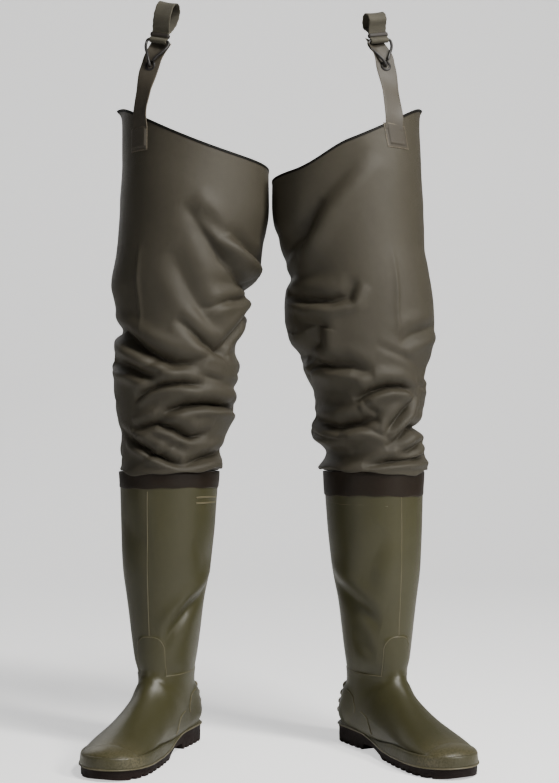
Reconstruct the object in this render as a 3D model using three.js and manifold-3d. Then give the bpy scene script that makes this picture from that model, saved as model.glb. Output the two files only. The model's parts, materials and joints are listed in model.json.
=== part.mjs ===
// A pair of thigh waders: two moulded boots, each with a welded fabric leg that reaches the top of the
// thigh and a belt strap at its outer front corner.
//
// Frame: millimetres, +Z up, toes towards -Y. The wearer's right wader stands at -X and the left one
// at +X. Each wader is drawn in its own terms: "out" is the distance away from the wearer's middle,
// "forward" points to the toe and "side" across the foot, away from the other leg.
import * as THREE from "three";
import { mergeVertices } from "three/addons/utils/BufferGeometryUtils.js";
import Module from "manifold-3d";

const wasm = await Module();
wasm.setup();

const { degToRad, lerp, smoothstep, clamp } = THREE.MathUtils;

// ------------------------------------------------------------------------------------------
// Driving dimensions

const GAP = 0.3; // between pieces that touch on the real object
const SHELL_WALL = 3.2; // moulded boot upper
const LINING_WALL = 1.2; // knitted lining bonded inside it
const INSOLE_THICK = 4;
const INSOLE_LIFT = 5; // of its top over the lining in the heel
const CUT_ABOVE = 10; // how far a cavity runs past the top of the shaft
const TOE_CAP = 0.85; // share of the way to the toe's tip at which the last section lies
const SHAFT_RINGS = [305, 250, 205, 160, 122];
const FABRIC_WALL = 1.6; // coated leg fabric
const BAND_WALL = 1.2; // thin welded and taped layers
const WEBBING = 1.6; // strap and belt loop
const NECK_HALF = WEBBING + 0.1; // half of the loop's two stitched layers

const FOOT_OUT = 150; // shaft axis of each boot from the wearer's middle
const SHAFT_TOP = 389;
const BAND_HEIGHT = 23;
const KNEE_TOP = 652; // above this the leg fabric is smooth
const KNEE_PIVOT = { back: 15, up: 520 };
// The rim's height in front, how far it falls inwards, and its lift at the sides.
const RIM = { middle: 843.5, slant: 41.5, rise: 15.5 };
const RIM_LEVEL = 880; // where the strap's place on the rim is worked out
const HEM_HEIGHT = 4;
const THIGH_RADIUS = 101; // turns a width laid on the thigh into an angle
// The seam tape lies some radians inwards from straight back.
const SEAM_TAPE = { width: 22, turned: 0.45, above: 2, below: 1 };

const PATCH = { width: 38, height: 32, below: 1.2 };
const STRAP = { width: 28, clear: 2.9, lean: 23, tongue: 12, overRim: 6, flatBelow: 14 };
const EYELET = { inner: 4.4, barrel: 5, flange: 7.5, strapHole: 5.3, plate: 0.5 };
const HOOK = { wire: 2.8, barUp: 38, barHalf: 14.2, shoulder: 16.4, lean: 0.2 };
// The wire's route as rows of across, up and forward from the eyelet: the tail that passes through it,
// one leg of the triangle up to the middle of the bar, which is mirrored for the other, and the hook's
// point.
const HOOK_TAIL = [
  [0.8, -8, -5.4],
  [0.4, -3.6, -5],
  [0, 0, -2.6],
  [0, 0, 2.6],
  [-2, 4, 4.8],
];
const HOOK_LEG = [
  [7, 13, 4.6],
  [14, 24, 2.6],
  [HOOK.shoulder, 31, 0.6],
  [HOOK.shoulder, 36, 0],
  [HOOK.barHalf, HOOK.barUp, 0],
  [HOOK.barHalf / 2, HOOK.barUp, 0],
];
const HOOK_POINT = [3.2, 5.6, 4.8];
const LOOP = { width: 26, eye: 2.3, neck: 12, halfDepth: 13 };
const KEEPER = { from: 5.5, height: 4.5, wall: 1.4 };

const RAND_HEIGHT = 15;
const GROOVE = { width: 4.5, depth: 4, pitch: 15, length: 130, heel: [-52, 0], forefoot: [92, 200] };

const AROUND_LEG = 20;
const AROUND_BOOT = 20;

// What differs between the two: how far the toe turns out, how low the rim hangs inside the thigh,
// where the strap leaves the rim, how far below it the patch starts, the eyelet's height above that,
// which way the hook faces and leans, and the height of the belt loop.
const WADERS = [
  {
    name: "right",
    sign: -1,
    toeOut: 19.5,
    rimSag: 0,
    strapOut: 180,
    patchBelow: 18,
    eyeletUp: 90,
    face: 74,
    tilt: 14,
    loopHigh: 56,
  },
  {
    name: "left",
    sign: 1,
    toeOut: 27,
    rimSag: 16,
    strapOut: 167,
    patchBelow: 13,
    eyeletUp: 90,
    face: 74,
    tilt: 10,
    loopHigh: 40,
  },
];

const COLOURS = {
  outsole: [0x1d0f0b, 0.75, 0],
  boot_shell: [0x4e4a31, 0.42, 0],
  boot_lining: [0x8b8878, 0.95, 0],
  insole: [0x6f6b5f, 0.95, 0],
  boot_top_band: [0x3a2d24, 0.6, 0],
  knee_sleeve: [0x4a433a, 0.7, 0],
  thigh_sleeve: [0x4a433a, 0.7, 0],
  rim_hem: [0x2c2620, 0.7, 0],
  leg_seam_tape: [0x3c362d, 0.65, 0],
  strap_patch: [0x504a3f, 0.65, 0],
  strap: [0x4d4a3e, 0.75, 0],
  strap_eyelet: [0x1b1917, 0.4, 0.8],
  triangle_hook: [0x121110, 0.35, 0.9],
  loop_keeper: [0x1a1614, 0.6, 0],
  belt_loop: [0x46412f, 0.85, 0],
};

// ------------------------------------------------------------------------------------------
// Stations. Each row is a height or a distance along the foot, followed by the values that are read
// there.

// Leg and shaft: height, out, forward, half width, half depth.
const legAt = readStations([
  [122, 150, 0, 43, 57],
  [160, 150, 0, 47, 57],
  [205, 150.5, -1, 52.5, 61],
  [250, 150, -3, 61, 67],
  [305, 148.5, -4, 65, 72],
  [389, 146.5, -4, 69.5, 75],
  [425, 145, -3, 72, 78],
  [484, 138.5, -2, 81, 84],
  [534, 134.5, 0, 89, 89],
  [590, 128.5, 0, 93, 93],
  [652, 125, 0, 100, 96],
  [702, 117, 0, 103, 98],
  [752, 110.5, 0, 105, 100],
  [907, 109.5, 0, 105, 100],
]);

// Ankle: sections that fan out behind a line just in front of the ankle crease. Each row is the
// section's angle below level, its distances from that line to the front and to the back of the boot,
// its half width, where it is widest as a share of its length from the back, and how square its back
// half is.
const ANKLE_LINE = { forward: 80, up: 124 };
const ANKLE = [
  [15, 25, 146, 42, 0.5, 2],
  [25, 27, 163.5, 41, 0.52, 2.1],
  [32.5, 28, 176, 40, 0.53, 2.2],
  [45, 29, 137, 39.5, 0.5, 2.6],
  [60, 30, 113, 40, 0.42, 3],
  [76, 32, 109, 40, 0.36, 3.4],
];

// Foot: distance forward, top, bottom, half width, widest share, squareness.
const FOOT = [
  [80, 87, 15, 40, 0.33, 3.6],
  [112, 72, 14.5, 44, 0.33, 3.6],
  [142, 61, 14.5, 46.5, 0.35, 3.6],
  [168, 55.5, 14.8, 44.5, 0.38, 3.4],
  [190, 51.5, 16, 38.5, 0.42, 3],
  [205, 46, 18, 30, 0.45, 2.8],
  [214, 39.5, 21, 18, 0.48, 2.4],
];
const TOE_TIP = { forward: 218.5, up: 32 };

// Middle line of the foot, which swings in at the toe.
const footSideAt = readStations([
  [-76, 0],
  [30, 3],
  [130, 2],
  [224, -8],
]);

// Outsole: distance forward, half width, the parting line with the upper, underside.
const soleAt = readStations([
  [-76, 0, 25, 1.5],
  [-73, 13, 25, 0],
  [-65, 24, 25, 0],
  [-45, 34, 25, 0],
  [-10, 36, 25, 0],
  [14, 35, 24, 0],
  [15, 35, 24, 9],
  [45, 37, 18, 9],
  [70, 42, 14.5, 4],
  [78, 44, 13.5, 0],
  [120, 50.5, 12.5, 0],
  [155, 50.5, 12.5, 0],
  [185, 44, 13, 0],
  [205, 33.5, 14, 0.5],
  [218, 18, 15, 2],
  [224, 0, 15.5, 3.5],
]);
const SOLE_SECTIONS = [-76, -73, -65, -45, -10, 14, 15, 45, 70, 78, 100, 120, 155, 185, 205, 218, 224];

// ------------------------------------------------------------------------------------------
// Tools

/** Reads rows of [position, values...] as straight runs between the rows. */
function readStations(rows) {
  const positions = rows.map((row) => row[0]);
  const values = rows.flatMap((row) => row.slice(1));
  const run = new THREE.LinearInterpolant(positions, values, rows[0].length - 1);
  return (at) => [...run.evaluate(clamp(at, positions[0], positions.at(-1)))];
}

/** A closed body skinned over rings of points. The rings either run round into each other or end in caps. */
function skin(rings, capped) {
  const count = rings[0].length;
  const points = rings.flat();
  const index = [];
  const last = capped ? rings.length - 1 : rings.length;
  for (let r = 0; r < last; r++) {
    const low = r * count;
    const high = ((r + 1) % rings.length) * count;
    for (let i = 0; i < count; i++) {
      const next = (i + 1) % count;
      index.push(low + i, low + next, high + next, low + i, high + next, high + i);
    }
  }
  if (capped) {
    const ends = [[0, rings[0]], [points.length - count, rings.at(-1)]];
    for (const [start, ring] of ends) {
      const middle = new THREE.Vector3();
      ring.forEach((point) => middle.addScaledVector(point, 1 / count));
      const hub = points.push(middle) - 1;
      for (let i = 0; i < count; i++) {
        const pairOf = [start + i, start + ((i + 1) % count)];
        if (start === 0) pairOf.reverse();
        index.push(hub, ...pairOf);
      }
    }
  }
  return facingOut(new THREE.BufferGeometry().setFromPoints(points).setIndex(index));
}

/** Turns the faces over when the body they bound has a negative volume. */
function facingOut(geometry) {
  const at = geometry.getAttribute("position");
  const index = geometry.index.array;
  const [a, b, c] = [new THREE.Vector3(), new THREE.Vector3(), new THREE.Vector3()];
  let volume = 0;
  for (let i = 0; i < index.length; i += 3) {
    a.fromBufferAttribute(at, index[i]);
    b.fromBufferAttribute(at, index[i + 1]);
    c.fromBufferAttribute(at, index[i + 2]);
    volume += a.dot(b.cross(c));
  }
  if (volume < 0) {
    for (let i = 0; i < index.length; i += 3) {
      [index[i + 1], index[i + 2]] = [index[i + 2], index[i + 1]];
    }
  }
  return geometry;
}

/** A three.js geometry as a manifold solid. */
function solid(geometry) {
  const bare = geometry.clone();
  bare.deleteAttribute("normal");
  bare.deleteAttribute("uv");
  const merged = facingOut(mergeVertices(bare, 1e-4));
  const vertProperties = new Float32Array(merged.getAttribute("position").array);
  const triVerts = new Uint32Array(merged.index.array);
  return new wasm.Manifold(new wasm.Mesh({ numProp: 3, vertProperties, triVerts }));
}

/** A manifold solid as a three.js geometry. */
function geometryOf(body) {
  const mesh = body.getMesh();
  return new THREE.BufferGeometry()
    .setAttribute("position", new THREE.BufferAttribute(new Float32Array(mesh.vertProperties), 3))
    .setIndex(new THREE.BufferAttribute(new Uint32Array(mesh.triVerts), 1));
}

/** A placed box as a manifold solid. */
function box(size, matrix) {
  return solid(new THREE.BoxGeometry(...size).applyMatrix4(matrix));
}

/** The matrix that carries x, y and z to three directions at a place. */
function frameAt(origin, x, y, z) {
  return new THREE.Matrix4().makeBasis(x, y, z).setPosition(origin);
}

// ------------------------------------------------------------------------------------------
// One wader

function makeWader(wader) {
  const { name, sign, toeOut, rimSag, strapOut, patchBelow, eyeletUp, face, tilt, loopHigh } = wader;

  /** A point given by out, back and up. */
  const point = (out, back, up) => new THREE.Vector3(sign * out, back, up);

  /** The direction whose bearing is measured from straight out towards the front. */
  const bearing = (degrees) => point(Math.cos(degToRad(degrees)), -Math.sin(degToRad(degrees)), 0);

  /** How far the section at a height is turned with the foot: all of it at the boot, none at the thigh. */
  const turnAt = (up) => degToRad(toeOut) * (1 - smoothstep(up, SHAFT_TOP, KNEE_TOP));

  /** A point given by forward and side from the leg's axis at a height. */
  function legPoint(forward, side, up, axisOut) {
    const turn = turnAt(up);
    const out = axisOut + forward * Math.sin(turn) + side * Math.cos(turn);
    return point(out, side * Math.sin(turn) - forward * Math.cos(turn), up);
  }

  /** A point of the foot. */
  const footPoint = (forward, side, up) => legPoint(forward, side, up, FOOT_OUT);

  /** A point outside the leg by an offset, at a height; the angle runs from straight out to the front. */
  function onLeg(angle, up, offset) {
    const [axisOut, forward, halfWidth, halfDepth] = legAt(up);
    const side = (halfWidth + offset) * Math.cos(angle);
    return legPoint(forward + (halfDepth + offset) * Math.sin(angle), side, up, axisOut);
  }

  /** The rim's height where the leg is as far out as cosine says, from -1 inside to 1 outside. */
  function rimAt(cosine) {
    const sag = rimSag * smoothstep(-cosine, 0.05, 0.75);
    return RIM.middle + RIM.slant * cosine + RIM.rise * cosine ** 2 - sag;
  }

  /** A tube wall round the leg. low and high give its ends at an angle; the offsets are its faces. */
  function tube(low, high, inner, outer, rows) {
    const rings = [];
    const steps = [...Array(rows + 1).keys()].map((row) => row / rows);
    const ring = (share, offset) =>
      [...Array(AROUND_LEG).keys()].map((i) => {
        const angle = (i * 2 * Math.PI) / AROUND_LEG;
        return onLeg(angle, lerp(low(angle), high(angle), share), offset);
      });
    steps.forEach((share) => rings.push(ring(share, outer)));
    steps.reverse().forEach((share) => rings.push(ring(share, inner)));
    return skin(rings, false);
  }

  // --- Boot

  /** A ring of the boot between a back or bottom point and a front or top point, both as [forward, up]. */
  function bootRing(back, front, halfWidth, widest, square, grow) {
    const low = new THREE.Vector2(...back);
    const run = new THREE.Vector2(...front).sub(low);
    const length = run.length() + 2 * grow;
    run.normalize();
    low.addScaledVector(run, -grow);
    return [...Array(AROUND_BOOT).keys()].map((i) => {
      const angle = (i * 2 * Math.PI) / AROUND_BOOT;
      const along = Math.cos(angle);
      const across = Math.sin(angle);
      const power = along < 0 ? 2 / square : 1;
      const reach = along < 0 ? widest : 1 - widest;
      const distance = length * (widest + Math.sign(along) * reach * Math.abs(along) ** power);
      const at = low.clone().addScaledVector(run, distance);
      const side = (halfWidth + grow) * Math.sign(across) * Math.abs(across) ** power;
      return { forward: at.x, side, up: at.y };
    });
  }

  /** The boot's outer form grown by an offset, as one solid; the top can be raised for a cut. */
  function bootForm(grow, top) {
    const rings = [];
    for (const up of [top, ...SHAFT_RINGS]) {
      const [axisOut, forward, halfWidth, halfDepth] = legAt(up);
      const ring = bootRing([forward - halfDepth, up], [forward + halfDepth, up], halfWidth, 0.5, 2, grow);
      rings.push(ring.map((p) => legPoint(p.forward, p.side, up, axisOut)));
    }
    for (const [degrees, near, far, halfWidth, widest, square] of ANKLE) {
      const [cosine, sine] = [Math.cos(degToRad(degrees)), Math.sin(degToRad(degrees))];
      const reach = (d) => [ANKLE_LINE.forward - d * cosine, ANKLE_LINE.up - d * sine];
      const ring = bootRing(reach(far), reach(near), halfWidth, widest, square, grow);
      rings.push(ring.map((p) => footPoint(p.forward, p.side, p.up)));
    }
    for (const [forward, high, low, halfWidth, widest, square] of FOOT) {
      const middle = footSideAt(forward)[0] * smoothstep(forward, ANKLE_LINE.forward, TOE_TIP.forward);
      const place = forward + grow * smoothstep(forward, FOOT[2][0], TOE_TIP.forward);
      const ring = bootRing([place, low], [place, high], halfWidth, widest, square, grow);
      rings.push(ring.map((p) => footPoint(p.forward, p.side + middle, p.up)));
    }
    const tipSide = footSideAt(TOE_TIP.forward)[0];
    const tip = Array(AROUND_BOOT).fill(footPoint(TOE_TIP.forward + grow, tipSide, TOE_TIP.up));
    const spread = rings.at(-1).map((p, i) => p.clone().lerp(tip[i], TOE_CAP));
    rings.push(spread);
    return solid(skin(rings, true));
  }

  /** A slab of the outsole's outline between two height functions of the distance forward. */
  function soleSlab(high, low) {
    const rings = SOLE_SECTIONS.map((forward) => {
      const [halfWidth, parting, under] = soleAt(forward);
      const half = Math.max(halfWidth, 2);
      const middle = footSideAt(forward)[0];
      const edge = [
        [-half, low(under, parting)],
        [half, low(under, parting)],
        [half, high(under, parting)],
        [-half, high(under, parting)],
      ];
      return edge.map(([side, up]) => footPoint(forward, middle + side, up));
    });
    return solid(skin(rings, true));
  }

  function makeBoot() {
    const form = bootForm(0, SHAFT_TOP);
    const rand = soleSlab((under, parting) => parting + RAND_HEIGHT, (under, parting) => parting);
    const cavity = bootForm(-SHELL_WALL, SHAFT_TOP + CUT_ABOVE);
    const shell = form.add(rand).subtract(cavity);

    const liningForm = bootForm(-SHELL_WALL - GAP, SHAFT_TOP - 4);
    const liningCavity = bootForm(-SHELL_WALL - GAP - LINING_WALL, SHAFT_TOP + CUT_ABOVE);
    const lining = liningForm.subtract(liningCavity);

    const insoleForm = bootForm(-SHELL_WALL - LINING_WALL - 3 * GAP, SHAFT_TOP);
    const floor = SHELL_WALL + LINING_WALL + INSOLE_LIFT;
    const slab = soleSlab((under, parting) => parting + floor + INSOLE_THICK, () => 0);
    const insole = insoleForm.intersect(slab);

    const clearance = bootForm(GAP, SHAFT_TOP);
    const base = soleSlab((under, parting) => parting - GAP, (under) => under);
    const outsole = base.subtract(clearance).subtract(grooves());
    return { outsole, boot_shell: shell, boot_lining: lining, insole };
  }

  /** Grooves across the tread of the heel and the forefoot. */
  function grooves() {
    const across = footPoint(0, 1, 0).sub(footPoint(0, 0, 0));
    const ahead = footPoint(1, 0, 0).sub(footPoint(0, 0, 0));
    const up = new THREE.Vector3(0, 0, 1);
    const cuts = [];
    for (const [from, to] of [GROOVE.heel, GROOVE.forefoot]) {
      for (let forward = from; forward <= to; forward += GROOVE.pitch) {
        const place = frameAt(footPoint(forward, 0, 0), ahead, across, up);
        cuts.push(box([GROOVE.width, GROOVE.length, 2 * GROOVE.depth], place));
      }
    }
    return cuts.reduce((all, cut) => all.add(cut));
  }

  // --- Leg

  const flat = (height) => () => height;
  const rim = (angle) => rimAt(Math.cos(angle));

  function makeLeg() {
    const seam = 1.5 * Math.PI - SEAM_TAPE.turned;
    const half = SEAM_TAPE.width / 2 / THIGH_RADIUS;
    const seamTop = (angle) => rim(angle) - HEM_HEIGHT - SEAM_TAPE.below;
    return {
      boot_top_band: tube(flat(SHAFT_TOP - BAND_HEIGHT), flat(SHAFT_TOP + 1), GAP, GAP + BAND_WALL, 1),
      knee_sleeve: tube(flat(SHAFT_TOP + 1 + GAP), flat(KNEE_TOP - GAP), -FABRIC_WALL, 0, 6),
      thigh_sleeve: tube(flat(KNEE_TOP), rim, -FABRIC_WALL, 0, 5),
      rim_hem: tube((angle) => rim(angle) - HEM_HEIGHT, rim, GAP, GAP + BAND_WALL, 1),
      leg_seam_tape: panel(seam - half, seam + half, flat(KNEE_TOP + SEAM_TAPE.above), seamTop),
    };
  }

  /** A thin piece that lies on the leg's outside between two angles. */
  function panel(from, to, low, high) {
    const rows = 6;
    const columns = 4;
    const rings = [];
    for (let row = 0; row <= rows; row++) {
      const outer = [];
      const inner = [];
      for (let column = 0; column <= columns; column++) {
        const angle = lerp(from, to, column / columns);
        const up = lerp(low(angle), high(angle), row / rows);
        outer.push(onLeg(angle, up, GAP + BAND_WALL));
        inner.unshift(onLeg(angle, up, GAP));
      }
      rings.push([...outer, ...inner]);
    }
    return skin(rings, true);
  }

  // --- Belt strap

  const [rimOut, , rimHalfWidth, rimHalfDepth] = legAt(RIM_LEVEL);
  const strapCosine = (strapOut - rimOut) / rimHalfWidth;
  const strapAngle = Math.acos(strapCosine);
  const strapFoot = rimAt(strapCosine) - patchBelow;
  const footNormal = point(Math.cos(strapAngle) / rimHalfWidth, -Math.sin(strapAngle) / rimHalfDepth, 0);
  footNormal.normalize();
  const foot = onLeg(strapAngle, strapFoot, STRAP.clear);
  const footAcross = new THREE.Vector3(0, 0, 1).cross(footNormal).normalize();

  // The hook's own directions: across its bar, up its plane, and towards the front.
  const level = new THREE.Vector3(0, 0, 1).cross(bearing(face)).normalize();
  const front = bearing(face).multiplyScalar(Math.cos(HOOK.lean)).add(point(0, 0, Math.sin(HOOK.lean)));
  const upright = new THREE.Vector3().crossVectors(front, level).normalize();
  const lean = sign * degToRad(tilt);
  const up = upright.clone().applyAxisAngle(front, lean);
  const across = level.clone().applyAxisAngle(front, lean);
  const eyelet = foot.clone().addScaledVector(footNormal, -STRAP.lean);
  eyelet.z = strapFoot + eyeletUp;
  const hookFrame = frameAt(eyelet, across, up, front);
  const bar = new THREE.Vector3(0, HOOK.barUp, 0).applyMatrix4(hookFrame);

  function makeStrap() {
    const overRim = onLeg(strapAngle, rimAt(strapCosine) + STRAP.overRim, STRAP.clear);
    const flatFrom = eyelet.clone().addScaledVector(up, -STRAP.flatBelow);
    const flatTo = eyelet.clone().addScaledVector(up, STRAP.tongue);
    const stops = [foot, overRim, flatFrom, eyelet, flatTo];
    const route = new THREE.CatmullRomCurve3(stops, false, "centripetal");
    const rows = [];
    const steps = 9;
    for (let step = 0; step <= steps; step++) rows.push(route.getPoint((0.5 * step) / steps));
    rows.push(flatTo);
    const rings = rows.map((place, row) => {
      const share = smoothstep(row / steps, 0.55, 0.95);
      const wide = footAcross.clone().lerp(across, share).normalize();
      const ahead = row < steps ? rows[row + 1].clone().sub(place) : up.clone();
      const outward = wide.clone().cross(row >= steps - 1 ? up : ahead).normalize();
      const corner = (w, t) => {
        const edge = place.clone().addScaledVector(wide, (w * STRAP.width) / 2);
        return edge.addScaledVector(outward, (t * WEBBING) / 2);
      };
      return [corner(-1, -1), corner(1, -1), corner(1, 1), corner(-1, 1)];
    });
    const hole = new THREE.CylinderGeometry(EYELET.strapHole, EYELET.strapHole, 12, 20).rotateX(Math.PI / 2);
    return solid(skin(rings, true)).subtract(solid(hole.applyMatrix4(hookFrame)));
  }

  function makeEyelet() {
    const face = WEBBING / 2 + GAP;
    const profile = [
      [EYELET.inner, -face - EYELET.plate],
      [EYELET.flange, -face - EYELET.plate],
      [EYELET.flange, -face],
      [EYELET.barrel, -face],
      [EYELET.barrel, face],
      [EYELET.flange, face],
      [EYELET.flange, face + EYELET.plate],
      [EYELET.inner, face + EYELET.plate],
      [EYELET.inner, -face - EYELET.plate],
    ].map(([radius, height]) => new THREE.Vector2(radius, height));
    return new THREE.LatheGeometry(profile, 18).rotateX(Math.PI / 2).applyMatrix4(hookFrame);
  }

  /** A bent wire: through the eyelet, up one side, across the bar and down the other side to the point. */
  function makeHook() {
    const leg = (side) => HOOK_LEG.map(([out, high, ahead]) => [side * out, high, ahead]);
    const stops = [...HOOK_TAIL, ...leg(-1), ...leg(1).reverse(), HOOK_POINT];
    const route = stops.map((at) => new THREE.Vector3(...at));
    const section = new THREE.Shape().absarc(0, 0, HOOK.wire / 2, 0, 2 * Math.PI);
    const path = new THREE.CatmullRomCurve3(route, false, "centripetal");
    const made = new THREE.ExtrudeGeometry(section, { extrudePath: path, steps: 44, curveSegments: 4 });
    return made.applyMatrix4(hookFrame);
  }

  /** The belt loop: an eye round the hook's bar, a stitched neck and the open loop, drawn edge on. */
  function makeBeltLoop() {
    const { eye, neck, halfDepth, width } = LOOP;
    const top = loopHigh;
    const outer = eye + WEBBING;
    const pinch = Math.asin(NECK_HALF / outer);
    const bulge = halfDepth + 2 * WEBBING;
    const outline = new THREE.Shape();
    outline.absarc(0, 0, outer, Math.PI / 2 + pinch, 2.5 * Math.PI - pinch, false);
    outline.lineTo(NECK_HALF, neck);
    outline.bezierCurveTo(bulge, neck + 9, bulge, top, 0, top);
    outline.bezierCurveTo(-bulge, top, -bulge, neck + 9, -NECK_HALF, neck);
    const ring = new THREE.Path().absarc(0, 0, eye, 0, 2 * Math.PI);
    const gap = new THREE.Path();
    gap.moveTo(0, neck + 3);
    gap.bezierCurveTo(halfDepth, neck + 9, halfDepth, top - WEBBING, 0, top - WEBBING);
    gap.bezierCurveTo(-halfDepth, top - WEBBING, -halfDepth, neck + 9, 0, neck + 3);
    outline.holes.push(ring, gap);
    const made = new THREE.ExtrudeGeometry(outline, { depth: width, bevelEnabled: false, curveSegments: 8 });
    made.translate(0, 0, -width / 2).rotateY(-Math.PI / 2);
    return made.applyMatrix4(frameAt(bar, across, up, front));
  }

  /** The band that holds the two layers of the loop's neck together. */
  function makeKeeper() {
    const { from, height, wall } = KEEPER;
    const frame = frameAt(bar, across, up, front);
    const middle = new THREE.Matrix4().makeTranslation(0, from + height / 2, 0);
    const inside = [LOOP.width + 2 * GAP, 2 * height, 2 * (NECK_HALF + GAP)];
    const outside = [inside[0] + 2 * wall, height, inside[2] + 2 * wall];
    const place = frame.clone().multiply(middle);
    return box(outside, place).subtract(box(inside, place));
  }

  const patchHalf = PATCH.width / 2 / THIGH_RADIUS;
  const patchTop = strapFoot - PATCH.below;
  const pieces = {
    ...makeBoot(),
    ...makeLeg(),
    strap_patch: panel(
      strapAngle - patchHalf,
      strapAngle + patchHalf,
      flat(patchTop - PATCH.height),
      flat(patchTop),
    ),
    strap: makeStrap(),
    strap_eyelet: makeEyelet(),
    triangle_hook: makeHook(),
    loop_keeper: makeKeeper(),
    belt_loop: makeBeltLoop(),
  };

  const group = new THREE.Group();
  for (const [part, made] of Object.entries(pieces)) {
    const [color, roughness, metalness] = COLOURS[part];
    const material = new THREE.MeshStandardMaterial({ color, roughness, metalness });
    const mesh = new THREE.Mesh(made.isBufferGeometry ? made : geometryOf(made), material);
    mesh.name = `${name}_${part}`;
    group.add(mesh);
  }
  const knee = point(legAt(KNEE_PIVOT.up)[0], KNEE_PIVOT.back, KNEE_PIVOT.up);
  group.userData.joints = {
    [`${name}_knee_bend`]: { at: knee, axis: [-1, 0, 0] },
    [`${name}_strap_fold`]: { at: foot, axis: footAcross },
    [`${name}_hook_swing`]: { at: eyelet, axis: across },
    [`${name}_loop_swing`]: { at: bar, axis: across },
  };
  return group;
}

// ------------------------------------------------------------------------------------------
// The pair, stood on its soles with the middle of its box at the origin

const pair = new THREE.Group();
WADERS.forEach((wader) => pair.add(makeWader(wader)));
const bounds = new THREE.Box3().setFromObject(pair, true);
const middle = bounds.getCenter(new THREE.Vector3());
pair.position.set(-middle.x, -middle.y, -bounds.min.z);

export default pair;
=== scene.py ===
"""A pair of thigh waders: moulded boots with welded fabric legs and belt straps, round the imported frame.

Lengths inside the shape functions are millimetres in the wearer's own frame, where the plane between the
two legs is x = 0. "Forward" runs to the toe, "side" runs across the foot away from the other leg, "out" is
the distance from the plane between the legs. The bearing round a leg runs from straight out, 0 degrees, to
the front, 90 degrees.
"""

import json
import math

import bpy
import numpy as np
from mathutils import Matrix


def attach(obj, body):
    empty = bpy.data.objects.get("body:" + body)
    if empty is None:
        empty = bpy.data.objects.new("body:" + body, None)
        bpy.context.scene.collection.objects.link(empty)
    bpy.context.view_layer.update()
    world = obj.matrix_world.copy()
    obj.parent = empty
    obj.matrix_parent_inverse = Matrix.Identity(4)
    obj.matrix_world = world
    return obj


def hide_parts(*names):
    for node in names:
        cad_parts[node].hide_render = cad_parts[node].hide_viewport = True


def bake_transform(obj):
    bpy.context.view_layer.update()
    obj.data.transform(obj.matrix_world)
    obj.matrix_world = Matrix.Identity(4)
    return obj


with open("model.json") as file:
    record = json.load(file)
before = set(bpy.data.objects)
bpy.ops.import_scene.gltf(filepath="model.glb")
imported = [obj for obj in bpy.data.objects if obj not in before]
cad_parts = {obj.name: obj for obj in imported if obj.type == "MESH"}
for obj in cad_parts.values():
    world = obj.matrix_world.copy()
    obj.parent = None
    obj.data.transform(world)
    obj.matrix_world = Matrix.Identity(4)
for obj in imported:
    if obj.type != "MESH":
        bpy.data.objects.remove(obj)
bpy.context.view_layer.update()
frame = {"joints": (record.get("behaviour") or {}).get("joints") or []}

bl_info = {
    "name": "Thigh waders",
    "version": (1, 0, 0),
    "blender": (4, 5, 0),
    "location": "View3D > Sidebar > Waders",
    "description": "Builds a pair of thigh waders piece by piece",
    "category": "Add Mesh",
}

JOINTS = {joint["name"]: joint for joint in frame["joints"]}

# --------------------------------------------------------------------------------------------------
# Sizes of the pair

FOOT_OUT = 150.0
SHAFT_TOP = 389.0
KNEE_TOP = 652.0
KNEE_BACK, KNEE_UP = 15.0, 520.0
RIM_MIDDLE, RIM_SLANT, RIM_RISE = 843.5, 41.5, 15.5
RIM_LEVEL = 880.0
SHELL_WALL = 3.2
MM_PER_DEGREE = 1.66

# Height, out, forward, half width, half depth.
LEG = np.array([
    [100, 150, 0, 40.5, 57], [122, 150, 0, 40.5, 57], [160, 150, 0, 47, 57], [205, 150.5, -1, 52.5, 61],
    [250, 150, -3, 61, 67], [305, 148.5, -4, 65, 72], [389, 146.5, -4, 69.5, 75], [425, 145, -3, 72, 78],
    [484, 138.5, -2, 81, 84], [534, 134.5, 0, 89, 89], [590, 128.5, 0, 93, 93], [652, 125, 0, 100, 96],
    [702, 117, 0, 103, 98], [752, 110.5, 0, 105, 100], [920, 109.5, 0, 105, 100],
])

# Ankle fan about a line in front of the crease: degrees below level, near, far, half width, widest share,
# squareness.
ANKLE_FORWARD, ANKLE_UP = 80.0, 124.0
ANKLE = [
    [15, 25, 139, 34, 0.5, 2], [25, 26, 157, 34.5, 0.5, 2.3], [32, 27, 178, 34.5, 0.48, 3.4],
    [38, 28, 178, 34.5, 0.46, 3.8], [45, 29, 155.6, 34.5, 0.44, 3.8], [60, 31, 127, 35.5, 0.4, 3.6],
    [76, 34, 113.4, 36, 0.36, 3.6],
]
# Foot: forward, top, bottom, half width, widest share, squareness.
FOOT = [
    [80, 83, 15, 37, 0.33, 3.8], [112, 65, 14.5, 41, 0.33, 4.2], [142, 53, 14.5, 45, 0.35, 4.4],
    [168, 45, 14.8, 43.5, 0.4, 4.2], [188, 39.5, 16, 38.5, 0.45, 3.6],
]
TOE_TIP_FORWARD, TOE_TIP_UP = 219.0, 26.0
FOOT_MIDDLE = np.array([[-76, 0], [30, 3], [130, 2], [224, -8]], float)

# Outsole: forward, half width, parting line, underside.
SOLE = np.array([
    [-76, 34, 25, 1.5], [-73, 34, 25, 0], [-42, 34, 25, 0], [-10, 36, 25, 0], [14, 35, 24, 0], [15, 35, 24, 9],
    [45, 37, 18, 9], [70, 42, 14.5, 4], [78, 44, 13.5, 0], [120, 50.5, 12.5, 0], [150, 50.5, 12.5, 0],
    [185, 50.5, 13, 0], [205, 50.5, 14, 0.5], [218, 50.5, 15, 2], [224, 50.5, 15.5, 3.5],
])
SOLE_MIDDLE, SOLE_HALF = 74, 150  # the middle of the outsole's length, and half of it
HEEL_ROUND = (-42.0, 34.0, 34.0)  # middle, length and half width of the outline's heel arc
TOE_ROUND = (150.0, 74.0, 50.5)

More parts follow.
